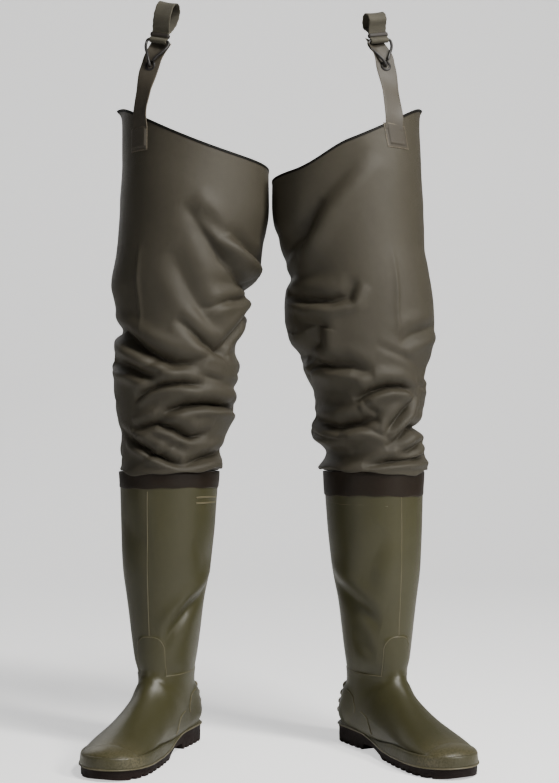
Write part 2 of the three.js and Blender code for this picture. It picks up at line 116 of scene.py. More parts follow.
# A fold is a line of (bearing, height), then the valley's depth and width, and the ridges above and below it.
RIGHT_FOLDS = [
    ([(84, 757), (105, 715), (122, 683), (140, 662), (160, 645)], 7, 11, 7, 0),
    ([(98, 750), (118, 721), (145, 699), (172, 682), (186, 660)], 8, 8, 1, 4),
    ([(134, 672), (160, 654), (190, 642), (214, 640)], 11, 9, 3, 2),
    ([(110, 616), (134, 625), (166, 635), (190, 636)], 5, 6, 3, 1),
    ([(136, 556), (156, 582), (176, 608), (204, 620)], 7, 10, 3, 2),
    ([(78, 694), (100, 635), (119, 596), (150, 556)], 5, 13, 3, 1),
    ([(90, 600), (121, 570), (156, 546)], 7, 8, 5, 2),
    ([(-6, 588), (20, 590), (42, 579), (74, 555), (98, 542), (126, 535)], 13, 9, 6, 4),
    ([(20, 545), (55, 535), (73, 525), (90, 518)], 9, 8, 3, 4),
    ([(66, 490), (80, 504), (92, 511), (109, 514), (132, 509)], 7, 6, 4, 3),
    ([(92, 468), (119, 484), (140, 487), (170, 485), (206, 478)], 15, 8, 7, 4),
    ([(66, 448), (95, 459), (114, 452), (134, 440), (156, 444)], 10, 7, 5, 4),
    ([(58, 440), (91, 422), (108, 411), (130, 397)], 10, 6, 5, 4),
    ([(204, 418), (158, 412), (139, 404), (128, 396)], 9, 7, 5, 3),
    ([(52, 705), (55, 637), (61, 578)], -1.6, 3, 0, 0),
]
LEFT_FOLDS = [
    ([(80, 833), (99, 793), (119, 754), (148, 690), (172, 668)], 4.5, 14, 0, 3.5),
    ([(112, 760), (135, 719), (170, 695), (196, 690)], 5, 12, 2, 2),
    ([(168, 640), (140, 627), (119, 624), (104, 628), (95, 652)], 9, 8, 3, 4),
    ([(156, 604), (136, 592), (141, 570), (168, 555), (192, 549)], 6, 11, 2.5, 2.5),
    ([(172, 546), (140, 538), (119, 536), (100, 524)], 8, 10, 3, 4),
    ([(70, 566), (51, 579), (8, 598)], 5, 9, 2, 3),
    ([(128, 488), (108, 502), (90, 509), (75, 509), (56, 500)], 10, 7, 5, 5),
    ([(196, 464), (153, 453), (127, 459), (112, 464), (106, 474)], 15, 9, 5, 4),
    ([(56, 498), (86, 466), (107, 442)], 8, 6, 4, 3),
    ([(10, 458), (40, 452), (74, 452), (91, 437), (108, 424)], 9, 7, 4, 3),
    ([(204, 448), (172, 439), (142, 434)], 7, 7, 3, 3),
    ([(98, 418), (77, 422), (46, 433)], 8, 6, 4, 3),
    ([(134, 396), (106, 405), (74, 409), (28, 414)], 8, 6, 4, 4),
    ([(63, 700), (63, 636), (68, 566)], -1.6, 3, 0, 0),
]
# Height, how far the leg's outer edge stands out of the plain tube, how far its inner edge does.
RIGHT_EDGES = np.array([
    [390, -2, 1], [399, -8, 1.5], [411, -3, 0], [421, -4, -3], [433, -5, 0], [446, -6, 4], [458, -1, 6.5],
    [474, 0.6, 8], [492, 1.5, 4], [509, 1.7, -4], [523, 1.7, 2], [541, 1.5, -2], [558, 0.5, -11], [570, -2, -12],
    [588, -7.5, -5.5], [612, -4, -2], [635, 0, -4], [650, 3.2, -9], [663, 3.3, 2.3], [674, 2, 6.4], [694, 0, 2.5],
    [715, -0.9, 0.3], [743, -0.6, 2], [778, -0.3, 2], [822, -3, 2], [900, -3, 2],
])
LEFT_EDGES = np.array([
    [390, 2, 1], [398, 3, 2], [405, 4.5, -3], [418, 0, -11], [425, -2, -4], [436, -8, 9], [444, -12, 10],
    [456, -18, 8], [468, -10, 1], [482, -3.7, -9], [502, -1.2, -10], [520, -5.2, -3], [534, -5.7, 0.5],
    [551, 2.8, -1], [575, 8.5, 12], [600, 9.2, 15], [628, 6, 11], [649, 2.5, 5], [663, 1, -7], [680, 0, -2],
    [701, -3, 1.8], [722, -2, -1], [736, -1, 4], [767, 0, 5], [820, -2.5, 5], [869, -5, 5], [900, -5, 5],
])
# The same for the boot's shaft: soft kinks in the moulded wall.
RIGHT_SHAFT_FOLDS = [
    ([(206, 232), (184, 216), (156, 198), (130, 172), (112, 148)], 5, 12, 3.5, 0),
    ([(40, 330), (70, 300), (100, 290)], 1.6, 24, 0.8, 0.5),
    ([(150, 300), (172, 270), (196, 258)], 1.8, 20, 0.8, 0.8),
    ([(250, 190), (300, 182), (340, 196)], 4, 13, 2, 1),
]
LEFT_SHAFT_FOLDS = [
    ([(210, 238), (182, 222), (152, 204), (120, 176)], 4.5, 13, 2.5, 0),
    ([(110, 310), (130, 262), (140, 214)], 2, 22, 0.8, 1),
    ([(170, 160), (150, 150), (132, 132)], 1.6, 14, 0.5, 0.5),
    ([(240, 200), (290, 186), (336, 194)], 4, 13, 2, 1),
]

WADERS = {
    "right": {
        "sign": -1, "toe_out": 19.5, "rim_sag": 0.0, "strap_out": 180.0, "patch_below": 18.0, "seed": 11,
        "folds": RIGHT_FOLDS, "edges": RIGHT_EDGES, "shaft_folds": RIGHT_SHAFT_FOLDS, "band_low": 368.0,
        "flare": 8.0, "curl": 2.0, "loop_high": 56.0, "patch_up": 3.0, "patch_half": 16.5,
        "patch_shift": -0.035, "patch_shear": 0.0, "lean_in": 3.0,
    },
    "left": {
        "sign": 1, "toe_out": 27.0, "rim_sag": 16.0, "strap_out": 167.0, "patch_below": 13.0, "seed": 23,
        "folds": LEFT_FOLDS, "edges": LEFT_EDGES, "shaft_folds": LEFT_SHAFT_FOLDS, "band_low": 357.0,
        "flare": 4.0, "curl": 8.0, "loop_high": 40.0, "patch_up": 8.0, "patch_half": 19.0,
        "patch_shift": -0.055, "patch_shear": 0.035, "lean_in": -7.0,
    },
}


def colour_property(label, text, value):
    return bpy.props.FloatVectorProperty(
        name=label, description=text, subtype="COLOR", size=3, min=0.0, max=1.0, default=value
    )


def length_property(label, text, value):
    return bpy.props.FloatProperty(
        name=label, description=text, unit="LENGTH", subtype="DISTANCE", min=0.0, default=value
    )


class WaderSizes(bpy.types.PropertyGroup):
    """Sizes that a user may change."""

    fabric_wall: length_property("Fabric wall", "Thickness of the coated leg fabric", 0.001)
    webbing: length_property("Webbing", "Thickness of the strap and the belt loop", 0.0016)
    strap_width: length_property("Strap width", "Width of the belt strap", 0.028)
    loop_width: length_property("Loop width", "Width of the belt loop webbing", 0.026)
    wire: length_property("Wire", "Thickness of the hook's wire", 0.004)
    thread: length_property("Thread pitch", "Distance between neighbouring threads of the leg fabric", 0.0009)
    fold_strength: bpy.props.FloatProperty(
        name="Fold strength", description="How deep the folds in the legs are", min=0.0, max=2.0, default=1.0
    )


class WaderColours(bpy.types.PropertyGroup):
    """Colours that a user may change, as linear values."""

    fabric: colour_property("Leg fabric", "Coated nylon of the legs", (0.0475, 0.0415, 0.0285))
    boot: colour_property("Boot", "Moulded upper of the boots", (0.0465, 0.0435, 0.0185))
    boot_light: colour_property("Boot lines", "Moulding lines and scuffs on the boots", (0.15, 0.13, 0.075))
    sole: colour_property("Outsole", "Rubber of the outsole", (0.0065, 0.003, 0.0024))
    band: colour_property("Weld band", "Band where the leg is welded to the boot", (0.0135, 0.0085, 0.0046))
    strap: colour_property("Strap", "Belt straps and their patches", (0.044, 0.0365, 0.0245))
    webbing: colour_property("Webbing", "Woven belt loops", (0.052, 0.046, 0.029))
    metal: colour_property("Metal", "Painted wire hooks and eyelets", (0.006, 0.005, 0.0045))
    lining: colour_property("Lining", "Knitted lining inside the boots", (0.26, 0.245, 0.19))
    felt: colour_property("Felt", "Insoles", (0.16, 0.145, 0.12))


# --------------------------------------------------------------------------------------------------
# Numbers and surfaces


def smoothstep(at, low, high):
    """Nothing below low, one above high, and an S-shaped rise of 3 t squared less 2 t cubed between them."""
    share = np.clip((np.asarray(at, float) - low) / (high - low), 0, 1)
    return share * share * (3 - 2 * share)


def blurred(values, spread):
    """Each value becomes the bell-weighted mean of its neighbours; the ends are continued straight on."""
    values = np.asarray(values, float)
    reach = max(1, int(3 * spread))
    weights = np.exp(-0.5 * (np.arange(-reach, reach + 1) / spread) ** 2)
    weights /= weights.sum()
    before = 2 * values[:1] - values[1 : reach + 1][::-1]
    after = 2 * values[-1:] - values[-reach - 1 : -1][::-1]
    padded = np.concatenate([before, values, after])
    columns = padded.reshape(len(padded), -1)
    done = np.stack([np.convolve(column, weights, "valid") for column in columns.T], axis=1)
    return done.reshape(values.shape)


def table(rows, step, spread):
    """Straight runs between the rows, read every step and blurred; returns a reader of all the columns."""
    at = np.arange(rows[0, 0], rows[-1, 0] + step, step)
    values = np.stack([np.interp(at, rows[:, 0], column) for column in rows[:, 1:].T], axis=1)
    values = blurred(values, spread / step)
    return lambda where: [np.interp(where, at, column) for column in values.T]


leg_at = table(LEG, 2.0, 9.0)
foot_middle_at = table(FOOT_MIDDLE, 2.0, 14.0)
sole_line_at = table(SOLE[:, :3], 1.0, 8.0)
sole_under_at = table(SOLE[:, [0, 3]], 1.0, 1.3)


def leg_row(up):
    """The leg's table read at one height, with straight runs between its rows."""
    return [float(np.interp(up, LEG[:, 0], column)) for column in LEG[:, 1:].T]



def turn_at(wader, up):
    """Radians that a section is turned with the foot: all of it at the boot, fading to none at the thigh."""
    return math.radians(wader["toe_out"]) * (1 - smoothstep(up, SHAFT_TOP, KNEE_TOP))


def leg_point(wader, forward, side, up, axis_out):
    """Forward and side turned about the leg's axis, then mirrored to the wader's own side."""
    turn = turn_at(wader, up)
    out = axis_out + forward * np.sin(turn) + side * np.cos(turn)
    back = side * np.sin(turn) - forward * np.cos(turn)
    return np.stack(np.broadcast_arrays(wader["sign"] * out, back, up), axis=-1)


def foot_point(wader, forward, side, up):
    return leg_point(wader, forward, side, up, FOOT_OUT)


def rim_at(wader, bearing):
    """The rim's height: a level, a slant by the bearing's cosine and a lift by its square, less a sag."""
    cosine = np.cos(bearing)
    sag = wader["rim_sag"] * smoothstep(-cosine, 0.05, 0.75)
    return RIM_MIDDLE + RIM_SLANT * cosine + RIM_RISE * cosine**2 - sag


FAR_AWAY = 1e9
REACH_ABOVE, REACH_BELOW = 1.45, 0.95  # a valley's reach on either side of its line, in widths
VALLEY_GAIN, UPPER_GAIN, LOWER_GAIN, PULL_GAIN = 1.45, 1.5, 2.0, 1.1


def fold_relief(folds, bearing, up):
    """How far folds push a surface out, and how far they pull it down.

    Each fold is measured by the signed distance d from its line, over the unrolled surface. Across it the
    surface sinks by the depth times e to the minus (d / reach) to the power 1.5, where the reach is longer
    above the line than below it, and rises in a bell on either side. Along it both fade at the ends as the
    sine of the share travelled, to the power 0.7.
    """
    push = np.zeros(np.shape(up))
    pull = np.zeros(np.shape(up))
    degrees = np.degrees(bearing)
    for line, depth, width, above, below in folds:
        line = np.array(line, float)
        middle = line[:, 0].mean()
        across = ((degrees - middle + 180) % 360 - 180 + middle) * MM_PER_DEGREE
        points = line * [MM_PER_DEGREE, 1]
        runs = np.diff(points, axis=0)
        lengths = np.linalg.norm(runs, axis=1)
        begins = np.concatenate([[0], np.cumsum(lengths)])
        best = np.full(np.shape(up), FAR_AWAY)
        signed = np.zeros(np.shape(up))
        along = np.zeros(np.shape(up))
        for start, run, length, begin in zip(points, runs, lengths, begins):
            a, b = across - start[0], up - start[1]
            share = np.clip((a * run[0] + b * run[1]) / length**2, 0, 1)
            a, b = a - share * run[0], b - share * run[1]
            gap = np.hypot(a, b)
            normal = np.array([-run[1], run[0]]) / length
            normal = normal if normal[1] >= 0 else -normal
            nearer = gap < best
            best = np.where(nearer, gap, best)
            signed = np.where(nearer, gap * np.sign(a * normal[0] + b * normal[1]), signed)
            along = np.where(nearer, (begin + share * length) / begins[-1], along)
        fade = np.sin(math.pi * np.clip(along, 0.001, 0.999)) ** 0.7
        reach = np.where(signed > 0, REACH_ABOVE, REACH_BELOW) * width
        valley = VALLEY_GAIN * depth * np.exp(-((np.abs(signed) / reach) ** 1.5))
        upper = UPPER_GAIN * above * np.exp(-(((signed - 1.9 * width) / (1.15 * width)) ** 2))
        lower = LOWER_GAIN * below * np.exp(-(((signed + 1.6 * width) / (1.1 * width)) ** 2))
        push += fade * (upper + lower - valley)
        pull += fade * PULL_GAIN * above * np.exp(-(((signed - width) / width) ** 2))
    return push, pull


def loose_folds(seed):
    """Folds that nothing in particular sets: behind the knee and lower leg, and a few slight creases."""
    draw = np.random.default_rng(seed)
    folds = []
    for height in np.arange(404, 640, 17.0):
        middle, half = draw.uniform(215, 325), draw.uniform(26, 60)
        tilt, sag = draw.uniform(-16, 16), draw.uniform(-10, 10)
        level = height + draw.uniform(-6, 6)
        line = [(middle - half, level - tilt), (middle, level + sag), (middle + half, level + tilt)]
        folds.append((line, draw.uniform(5, 11), draw.uniform(6, 9), draw.uniform(2, 5), draw.uniform(1, 4)))
    for _ in range(12):
        middle, half, level = draw.uniform(0, 210), draw.uniform(9, 20), draw.uniform(403, 560)
        tilt = draw.uniform(-15, 15)
        line = [(middle - half, level - tilt), (middle + half, level + tilt)]
        folds.append((line, draw.uniform(1.2, 2.6), draw.uniform(4, 6), draw.uniform(0.6, 1.4), 0.6))
    for _ in range(4):
        middle, level = draw.uniform(200, 340), draw.uniform(680, 780)
        line = [(middle - 22, level + 34), (middle, level), (middle + 16, level - 40)]
        folds.append((line, draw.uniform(2, 4), draw.uniform(11, 15), 1.5, 1.0))
    return folds


def fabric_surface(wader, bearing, up, offset, strength=1.0):
    """Points of the leg fabric: the plain tube, its uneven edges by the cosine of the bearing, and its folds.

    A point stands off the tube's section along the section's own normal; the ridges above folds also sink.
    """
    bearing, up = np.broadcast_arrays(np.asarray(bearing, float), np.asarray(up, float))
    axis_out, forward, half_width, half_depth = leg_at(up)
    cosine, sine = np.cos(bearing), np.sin(bearing)
    push, pull = fold_relief(wader["all_folds"], bearing, up)
    outer, inner = wader["edge_at"](up)
    edges = outer * np.clip(cosine, 0, 1) ** 1.7 + inner * np.clip(-cosine, 0, 1) ** 1.7
    calm = smoothstep(up, SHAFT_TOP, SHAFT_TOP + 14) * (1 - smoothstep(up, 800, 860))
    rim = rim_at(wader, bearing)
    corner = np.exp(-(((np.degrees(bearing) + 180) % 360 - 180) / 11) ** 2) * np.exp(-np.abs(rim - up) / 6)
    swell = 1.4 * np.sin(3 * bearing + up / 46) * np.sin(up / 71 + 1.7 + bearing) * smoothstep(up, 640, 700)
    grow = (
        edges + strength * calm * push + wader["flare"] * corner
        + swell * (1 - smoothstep(up, 800, 850)) + offset
    )
    lip = wader["lip"](bearing) * np.exp(-((np.maximum(up - 390, 0) / 12) ** 2))
    grow = grow + lip
    normal_side, normal_forward = cosine / half_width, sine / half_depth
    size = np.hypot(normal_side, normal_forward)
    side = half_width * cosine + grow * normal_side / size
    ahead = forward + half_depth * sine + grow * normal_forward / size
    return leg_point(wader, ahead, side, up - strength * calm * pull, axis_out)


def normals_of(points, closed=True):
    """Unit normals of a grid of points: the cross product of the steps along its rows and its columns."""
    if closed:
        around = np.roll(points, -1, axis=1) - np.roll(points, 1, axis=1)
    else:
        around = np.gradient(points, axis=1)
    along = np.gradient(points, axis=0)
    normal = np.cross(around, along)
    return normal / np.maximum(np.linalg.norm(normal, axis=-1, keepdims=True), 1e-9)


def grid_faces(rows, columns, closed_rows=False, closed_columns=True):
    """Quads between neighbouring points of a grid, and their corners counted in columns and rows."""
    row, column = np.meshgrid(
        np.arange(rows if closed_rows else rows - 1),
        np.arange(columns if closed_columns else columns - 1),
        indexing="ij",
    )
    row, column = row.ravel(), column.ravel()
    below, beside = (row + 1) % rows, (column + 1) % columns
    here, there = row * columns, below * columns
    quads = np.stack([here + column, here + beside, there + beside, there + column], axis=1)
    corners = np.stack(
        [
            np.stack([column, row], 1), np.stack([column + 1, row], 1),
            np.stack([column + 1, row + 1], 1), np.stack([column, row + 1], 1),
        ],
        axis=1,
    )
    return quads, corners


def curve_through(points, count, closed=False):
    """A centripetal Catmull-Rom curve: each stretch is a cubic whose end slopes come from its neighbours."""
    points = np.asarray(points, float)
    if closed:
        points = np.concatenate([points[-1:], points, points[:2]])
    else:
        points = np.concatenate([2 * points[:1] - points[1:2], points, 2 * points[-1:] - points[-2:-1]])
    knots = np.concatenate([[0], np.cumsum(np.linalg.norm(np.diff(points, axis=0), axis=1) ** 0.5)])
    at = np.linspace(knots[1], knots[-2], count, endpoint=not closed)
    index = np.clip(np.searchsorted(knots, at, "right") - 1, 1, len(points) - 3)
    p0, p1, p2, p3 = (points[index + k] for k in (-1, 0, 1, 2))
    t0, t1, t2, t3 = (knots[index + k][:, None] for k in (-1, 0, 1, 2))
    at = at[:, None]
    a1 = (t1 - at) / (t1 - t0) * p0 + (at - t0) / (t1 - t0) * p1
    a2 = (t2 - at) / (t2 - t1) * p1 + (at - t1) / (t2 - t1) * p2
    a3 = (t3 - at) / (t3 - t2) * p2 + (at - t2) / (t3 - t2) * p3
    b1 = (t2 - at) / (t2 - t0) * a1 + (at - t0) / (t2 - t0) * a2
    b2 = (t3 - at) / (t3 - t1) * a2 + (at - t1) / (t3 - t1) * a3
    return (t2 - at) / (t2 - t1) * b1 + (at - t1) / (t2 - t1) * b2


def unit(vectors):
    return vectors / np.maximum(np.linalg.norm(vectors, axis=-1, keepdims=True), 1e-9)


def tube_rings(path, radius, sides, closed=False, facing=None, flat=1.0):
    """Rings of a tube: circles of a radius, at right angles to the path; facing keeps them from twisting."""
    if closed:
        ahead = unit(np.roll(path, -1, axis=0) - np.roll(path, 1, axis=0))
    else:
        ahead = unit(np.gradient(path, axis=0))
    if facing is None:
        facing = np.array([0.31, 0.11, 0.94])
    across = unit(np.cross(ahead, np.broadcast_to(facing, ahead.shape)))
    upward = np.cross(across, ahead)
    turn = np.linspace(0, 2 * math.pi, sides, endpoint=False)
    cosine, sine = np.cos(turn)[None, :, None], np.sin(turn)[None, :, None]
    ring = across[:, None] * cosine + flat * upward[:, None] * sine
    return path[:, None] + np.reshape(radius, (-1, 1, 1)) * ring


def rounded_bar(width, thick, corners=3):
    """The outline of a flat strip's section: a rectangle whose short ends are half circles."""
    radius = thick / 2
    turn = np.linspace(-math.pi / 2, math.pi / 2, corners * 2 + 1)
    run = np.linspace(-width / 2 + radius, width / 2 - radius, 9)
    end = np.stack([width / 2 - radius + radius * np.cos(turn), radius * np.sin(turn)], axis=1)
    top = np.stack([run[::-1][1:-1], np.full(7, radius)], axis=1)
    bottom = np.stack([run[1:-1], np.full(7, -radius)], axis=1)
    return np.concatenate([end, top, -end, bottom])


# --------------------------------------------------------------------------------------------------
# Objects


def shift_of_the_pair():
    """Where the plane between the legs lies in the frame: a knee hinge's place less its place on the leg."""
    axis_out = leg_row(KNEE_UP)[0]
    here = np.array(JOINTS["right_knee_bend"]["pos_m"]) * 1000
    return here - np.array([-axis_out, KNEE_BACK, KNEE_UP])


SHIFT = shift_of_the_pair()


class Surface:
    """A mesh in the making: points, faces, a UV for each face corner and a mark for each point."""

    def __init__(self):
        self.points, self.quads, self.triangles = [], [], []
        self.quad_uv, self.triangle_uv, self.marks = [], [], []
        self.count = 0

    def add(
        self, rings, uv_step, closed_rows=False, closed_columns=True, caps=False, marks=None, uv_rows=None
    ):
        """Adds a grid of rings. Caps close both ends with a fan about the ring's mean."""
        rows, columns = rings.shape[:2]
        quads, corners = grid_faces(rows, columns, closed_rows, closed_columns)
        uv = corners * np.array(uv_step, float)
        if uv_rows is not None:
            uv[..., 1] = np.append(uv_rows, 2 * uv_rows[-1] - uv_rows[-2])[corners[..., 1]]
        points = [rings.reshape(-1, 3)]
        mark = np.zeros(rows * columns) if marks is None else np.asarray(marks, float).ravel()
        if caps:
            hubs = np.stack([rings[0].mean(0), rings[-1].mean(0)])
            points.append(hubs)
            mark = np.append(mark, [mark[:columns].mean(), mark[-columns:].mean()])
            here = np.arange(columns)
            there = (here + 1) % columns
            hub = rows * columns
            last = (rows - 1) * columns
            first_fan = np.stack([np.full(columns, hub), there, here], axis=1)
            last_fan = np.stack([np.full(columns, hub + 1), last + here, last + there], axis=1)
            fans = np.concatenate([first_fan, last_fan]) + self.count
            self.triangles.append(fans)
            low = np.stack([here * uv_step[0]] * 2, axis=1)
            self.triangle_uv.append(np.tile(np.stack([low, low, low], 1), (2, 1, 1)))
        self.quads.append(quads + self.count)
        self.quad_uv.append(uv)
        self.marks.append(mark)
        added = np.concatenate(points)
        self.points.append(added)
        self.count += len(added)

    def make(self, name, body, material, nodes=(), sharp=40.0, bodies=None):
        """Writes the mesh at the origin, its place in its points, facing out, and hangs it on a body; a piece given
        bodies hangs on none.
        """
        points = np.concatenate(self.points)
        quads = np.concatenate(self.quads)
        triangles = np.concatenate(self.triangles) if self.triangles else np.zeros((0, 3), int)
        quad_uv = np.concatenate(self.quad_uv)
        triangle_uv = np.concatenate(self.triangle_uv) if self.triangle_uv else np.zeros((0, 3, 2))
        centre = points.mean(0)
        halves = np.concatenate([quads[:, :3], quads[:, [0, 2, 3]], triangles])
        a, b, c = (points[halves[:, k]] - centre for k in range(3))
        if (a * np.cross(b, c)).sum() < 0:
            quads, quad_uv = quads[:, ::-1], quad_uv[:, ::-1]
            triangles, triangle_uv = triangles[:, ::-1], triangle_uv[:, ::-1]
        mesh = bpy.data.meshes.new(name)
        metres = (points + SHIFT) / 1000
        mesh.from_pydata(metres.tolist(), [], quads.tolist() + triangles.tolist())
        layer = mesh.uv_layers.new(name="surface")
        flat = np.concatenate([quad_uv.reshape(-1, 2), triangle_uv.reshape(-1, 2)])
        layer.data.foreach_set("uv", flat.astype(np.float32).ravel())
        mark = mesh.attributes.new("mark", "FLOAT", "POINT")
        mark.data.foreach_set("value", np.concatenate(self.marks).astype(np.float32))
        mesh.shade_smooth()
        mesh.set_sharp_from_angle(angle=math.radians(sharp))
        mesh.materials.append(material)
        piece = bpy.data.objects.new(name, mesh)
        bpy.context.scene.collection.objects.link(piece)
        if bodies:
            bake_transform(piece)
        else:
            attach(piece, body)
        if nodes:
            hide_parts(*nodes)
        return piece


# --------------------------------------------------------------------------------------------------
# Materials


def new_group(name, inputs, outputs):
    """A shader node group with named sockets; inputs are name: (type, default)."""
    group = bpy.data.node_groups.new(name, "ShaderNodeTree")
    for label, (kind, default) in inputs.items():
        socket = group.interface.new_socket(name=label, in_out="INPUT", socket_type=kind)
        if default is not None:
            socket.default_value = default
    for label, kind in outputs.items():
        group.interface.new_socket(name=label, in_out="OUTPUT", socket_type=kind)
    entry = group.nodes.new("NodeGroupInput")
    leave = group.nodes.new("NodeGroupOutput")
    return group, entry, leave


def wire_up(tree, source, target):
    tree.links.new(source, target)


def maths(tree, operation, first, second=None, third=None, clamp=False):
    """One Math node; each value is a socket or a number."""
    node = tree.nodes.new("ShaderNodeMath")
    node.operation = operation
    node.use_clamp = clamp
    for socket, value in zip(node.inputs, (first, second, third)):
        if value is None:
            continue
        if isinstance(value, (int, float)):
            socket.default_value = value
        else:
            tree.links.new(value, socket)
    return node.outputs[0]


def noise(tree, vector, scale, detail=3.0, roughness=0.55, distortion=0.0):
    node = tree.nodes.new("ShaderNodeTexNoise")
    node.inputs["Detail"].default_value = detail
    node.inputs["Roughness"].default_value = roughness
    node.inputs["Distortion"].default_value = distortion
    tree.links.new(vector, node.inputs["Vector"])
    if isinstance(scale, (int, float)):
        node.inputs["Scale"].default_value = scale
    else:
        tree.links.new(scale, node.inputs["Scale"])
    return node.outputs["Fac"]


def between(tree, value, low, high):
    """Maps a value from low..high to 0..1 and keeps it there."""
    node = tree.nodes.new("ShaderNodeMapRange")
    node.interpolation_type = "SMOOTHSTEP"
    tree.links.new(value, node.inputs["Value"])
    node.inputs["From Min"].default_value = low
    node.inputs["From Max"].default_value = high
    return node.outputs["Result"]


def mixed(tree, factor, first, second):
    """A colour mix; each end is a socket or a colour."""
    node = tree.nodes.new("ShaderNodeMix")
    node.data_type = "RGBA"
    for label, value in (("Factor", factor), ("A", first), ("B", second)):
        socket = next(s for s in node.inputs if s.name == label and (label == "Factor" or s.type == "RGBA"))
        if isinstance(value, (int, float, tuple)):
            socket.default_value = value
        else:
            tree.links.new(value, socket)
    return next(s for s in node.outputs if s.type == "RGBA")


def tone_group():
    """Colour that drifts in broad clouds and fine mottles between a base and a second colour."""
    group, entry, leave = new_group(
        "Tone drift",
        {
            "Coordinates": ("NodeSocketVector", None), "Base": ("NodeSocketColor", (0.1, 0.1, 0.1, 1)),
            "Second": ("NodeSocketColor", (0.2, 0.2, 0.2, 1)), "Scale": ("NodeSocketFloat", 8.0),
            "Amount": ("NodeSocketFloat", 0.5),
        },
        {"Colour": "NodeSocketColor", "Cloud": "NodeSocketFloat"},
    )
    broad = noise(group, entry.outputs["Coordinates"], entry.outputs["Scale"], 2.0, 0.5, 0.4)
    fine_scale = maths(group, "MULTIPLY", entry.outputs["Scale"], 21.0)
    fine = noise(group, entry.outputs["Coordinates"], fine_scale, 3.0, 0.6)
    cloud = maths(group, "ADD", maths(group, "MULTIPLY", broad, 0.75), maths(group, "MULTIPLY", fine, 0.25))
    share = maths(group, "MULTIPLY", between(group, cloud, 0.36, 0.66), entry.outputs["Amount"], clamp=True)
    colour = mixed(group, share, entry.outputs["Base"], entry.outputs["Second"])
    wire_up(group, colour, leave.inputs["Colour"])
    wire_up(group, cloud, leave.inputs["Cloud"])
    return group


def weave_group():
    """Threads over and under: two sine ridges at right angles, swapped in a chequer of the thread pitch."""
    group, entry, leave = new_group(
        "Woven threads",
        {
            "Coordinates": ("NodeSocketVector", None), "Across": ("NodeSocketFloat", 900.0),
            "Along": ("NodeSocketFloat", 900.0),
        },
        {"Height": "NodeSocketFloat"},
    )
    split = group.nodes.new("ShaderNodeSeparateXYZ")
    wire_up(group, entry.outputs["Coordinates"], split.inputs[0])
    across = maths(group, "MULTIPLY", split.outputs[0], entry.outputs["Across"])
    along = maths(group, "MULTIPLY", split.outputs[1], entry.outputs["Along"])
    warp = maths(group, "ABSOLUTE", maths(group, "SINE", maths(group, "MULTIPLY", across, math.pi)))
    weft = maths(group, "ABSOLUTE", maths(group, "SINE", maths(group, "MULTIPLY", along, math.pi)))
    cells = maths(group, "ADD", maths(group, "FLOOR", across), maths(group, "FLOOR", along))
    over = maths(group, "PINGPONG", cells, 1.0)
    first = maths(group, "MULTIPLY", warp, over)
    second = maths(group, "MULTIPLY", weft, maths(group, "SUBTRACT", 1.0, over))
    wire_up(group, maths(group, "ADD", first, second), leave.inputs["Height"])
    return group


def grain_group():
    """A moulded or coated surface's grain: fine pimples over shallow waves."""
    group, entry, leave = new_group(
        "Moulded grain",
        {
            "Coordinates": ("NodeSocketVector", None), "Scale": ("NodeSocketFloat", 600.0),
            "Waves": ("NodeSocketFloat", 30.0),
        },
        {"Height": "NodeSocketFloat", "Fine": "NodeSocketFloat"},
    )
    fine = noise(group, entry.outputs["Coordinates"], entry.outputs["Scale"], 4.0, 0.6)
    waves = noise(group, entry.outputs["Coordinates"], entry.outputs["Waves"], 2.0, 0.5)
    height = maths(group, "ADD", maths(group, "MULTIPLY", fine, 0.3), maths(group, "MULTIPLY", waves, 0.7))
    wire_up(group, height, leave.inputs["Height"])
    wire_up(group, fine, leave.inputs["Fine"])
    return group


def wear_group():
    """Where edges and raised lines have rubbed: the piece's own mark broken by speckle, and stray scuffs."""
    group, entry, leave = new_group(
        "Rubbed edges",
        {
            "Coordinates": ("NodeSocketVector", None), "Mark": ("NodeSocketFloat", 0.0),
            "Scale": ("NodeSocketFloat", 260.0), "Scuffs": ("NodeSocketFloat", 0.3),
        },
        {"Mask": "NodeSocketFloat"},
    )
    speckle = noise(group, entry.outputs["Coordinates"], entry.outputs["Scale"], 5.0, 0.7)
    broken = maths(group, "MULTIPLY", between(group, speckle, 0.36, 0.58), entry.outputs["Mark"])
    scuff_scale = maths(group, "MULTIPLY", entry.outputs["Scale"], 0.35)
    scuff = noise(group, entry.outputs["Coordinates"], scuff_scale, 6.0, 0.75, 1.2)
    scuff = between(group, scuff, 0.63, 0.72)
    stray = maths(group, "MULTIPLY", scuff, entry.outputs["Scuffs"])
    wire_up(group, maths(group, "ADD", broken, stray, clamp=True), leave.inputs["Mask"])
    return group


GROUPS = {}


def group_node(tree, name):
    makers = {"tone": tone_group, "weave": weave_group, "grain": grain_group, "wear": wear_group}
    if name not in GROUPS:
        GROUPS[name] = makers[name]()
    node = tree.nodes.new("ShaderNodeGroup")
    node.node_tree = GROUPS[name]
    return node


def feed(node, **values):
    for label, value in values.items():
        socket = node.inputs[label]
        if isinstance(value, bpy.types.NodeSocket):
            node.id_data.links.new(value, socket)
        else:
            socket.default_value = value
    return node


def shade(colour, times):
    return tuple(min(1.0, c * times) for c in colour) + (1.0,)


ROUGH_SPREAD = 0.08  # how much roughness drifts over a surface


def bump_over(tree, height, distance, normal):
    """A Bump node over the normal beneath it, if there is one."""
    bump = tree.nodes.new("ShaderNodeBump")
    bump.inputs["Strength"].default_value = 1.0
    bump.inputs["Distance"].default_value = distance
    wire_up(tree, height, bump.inputs["Height"])
    if normal is not None:
        wire_up(tree, normal, bump.inputs["Normal"])
    return bump.outputs["Normal"]


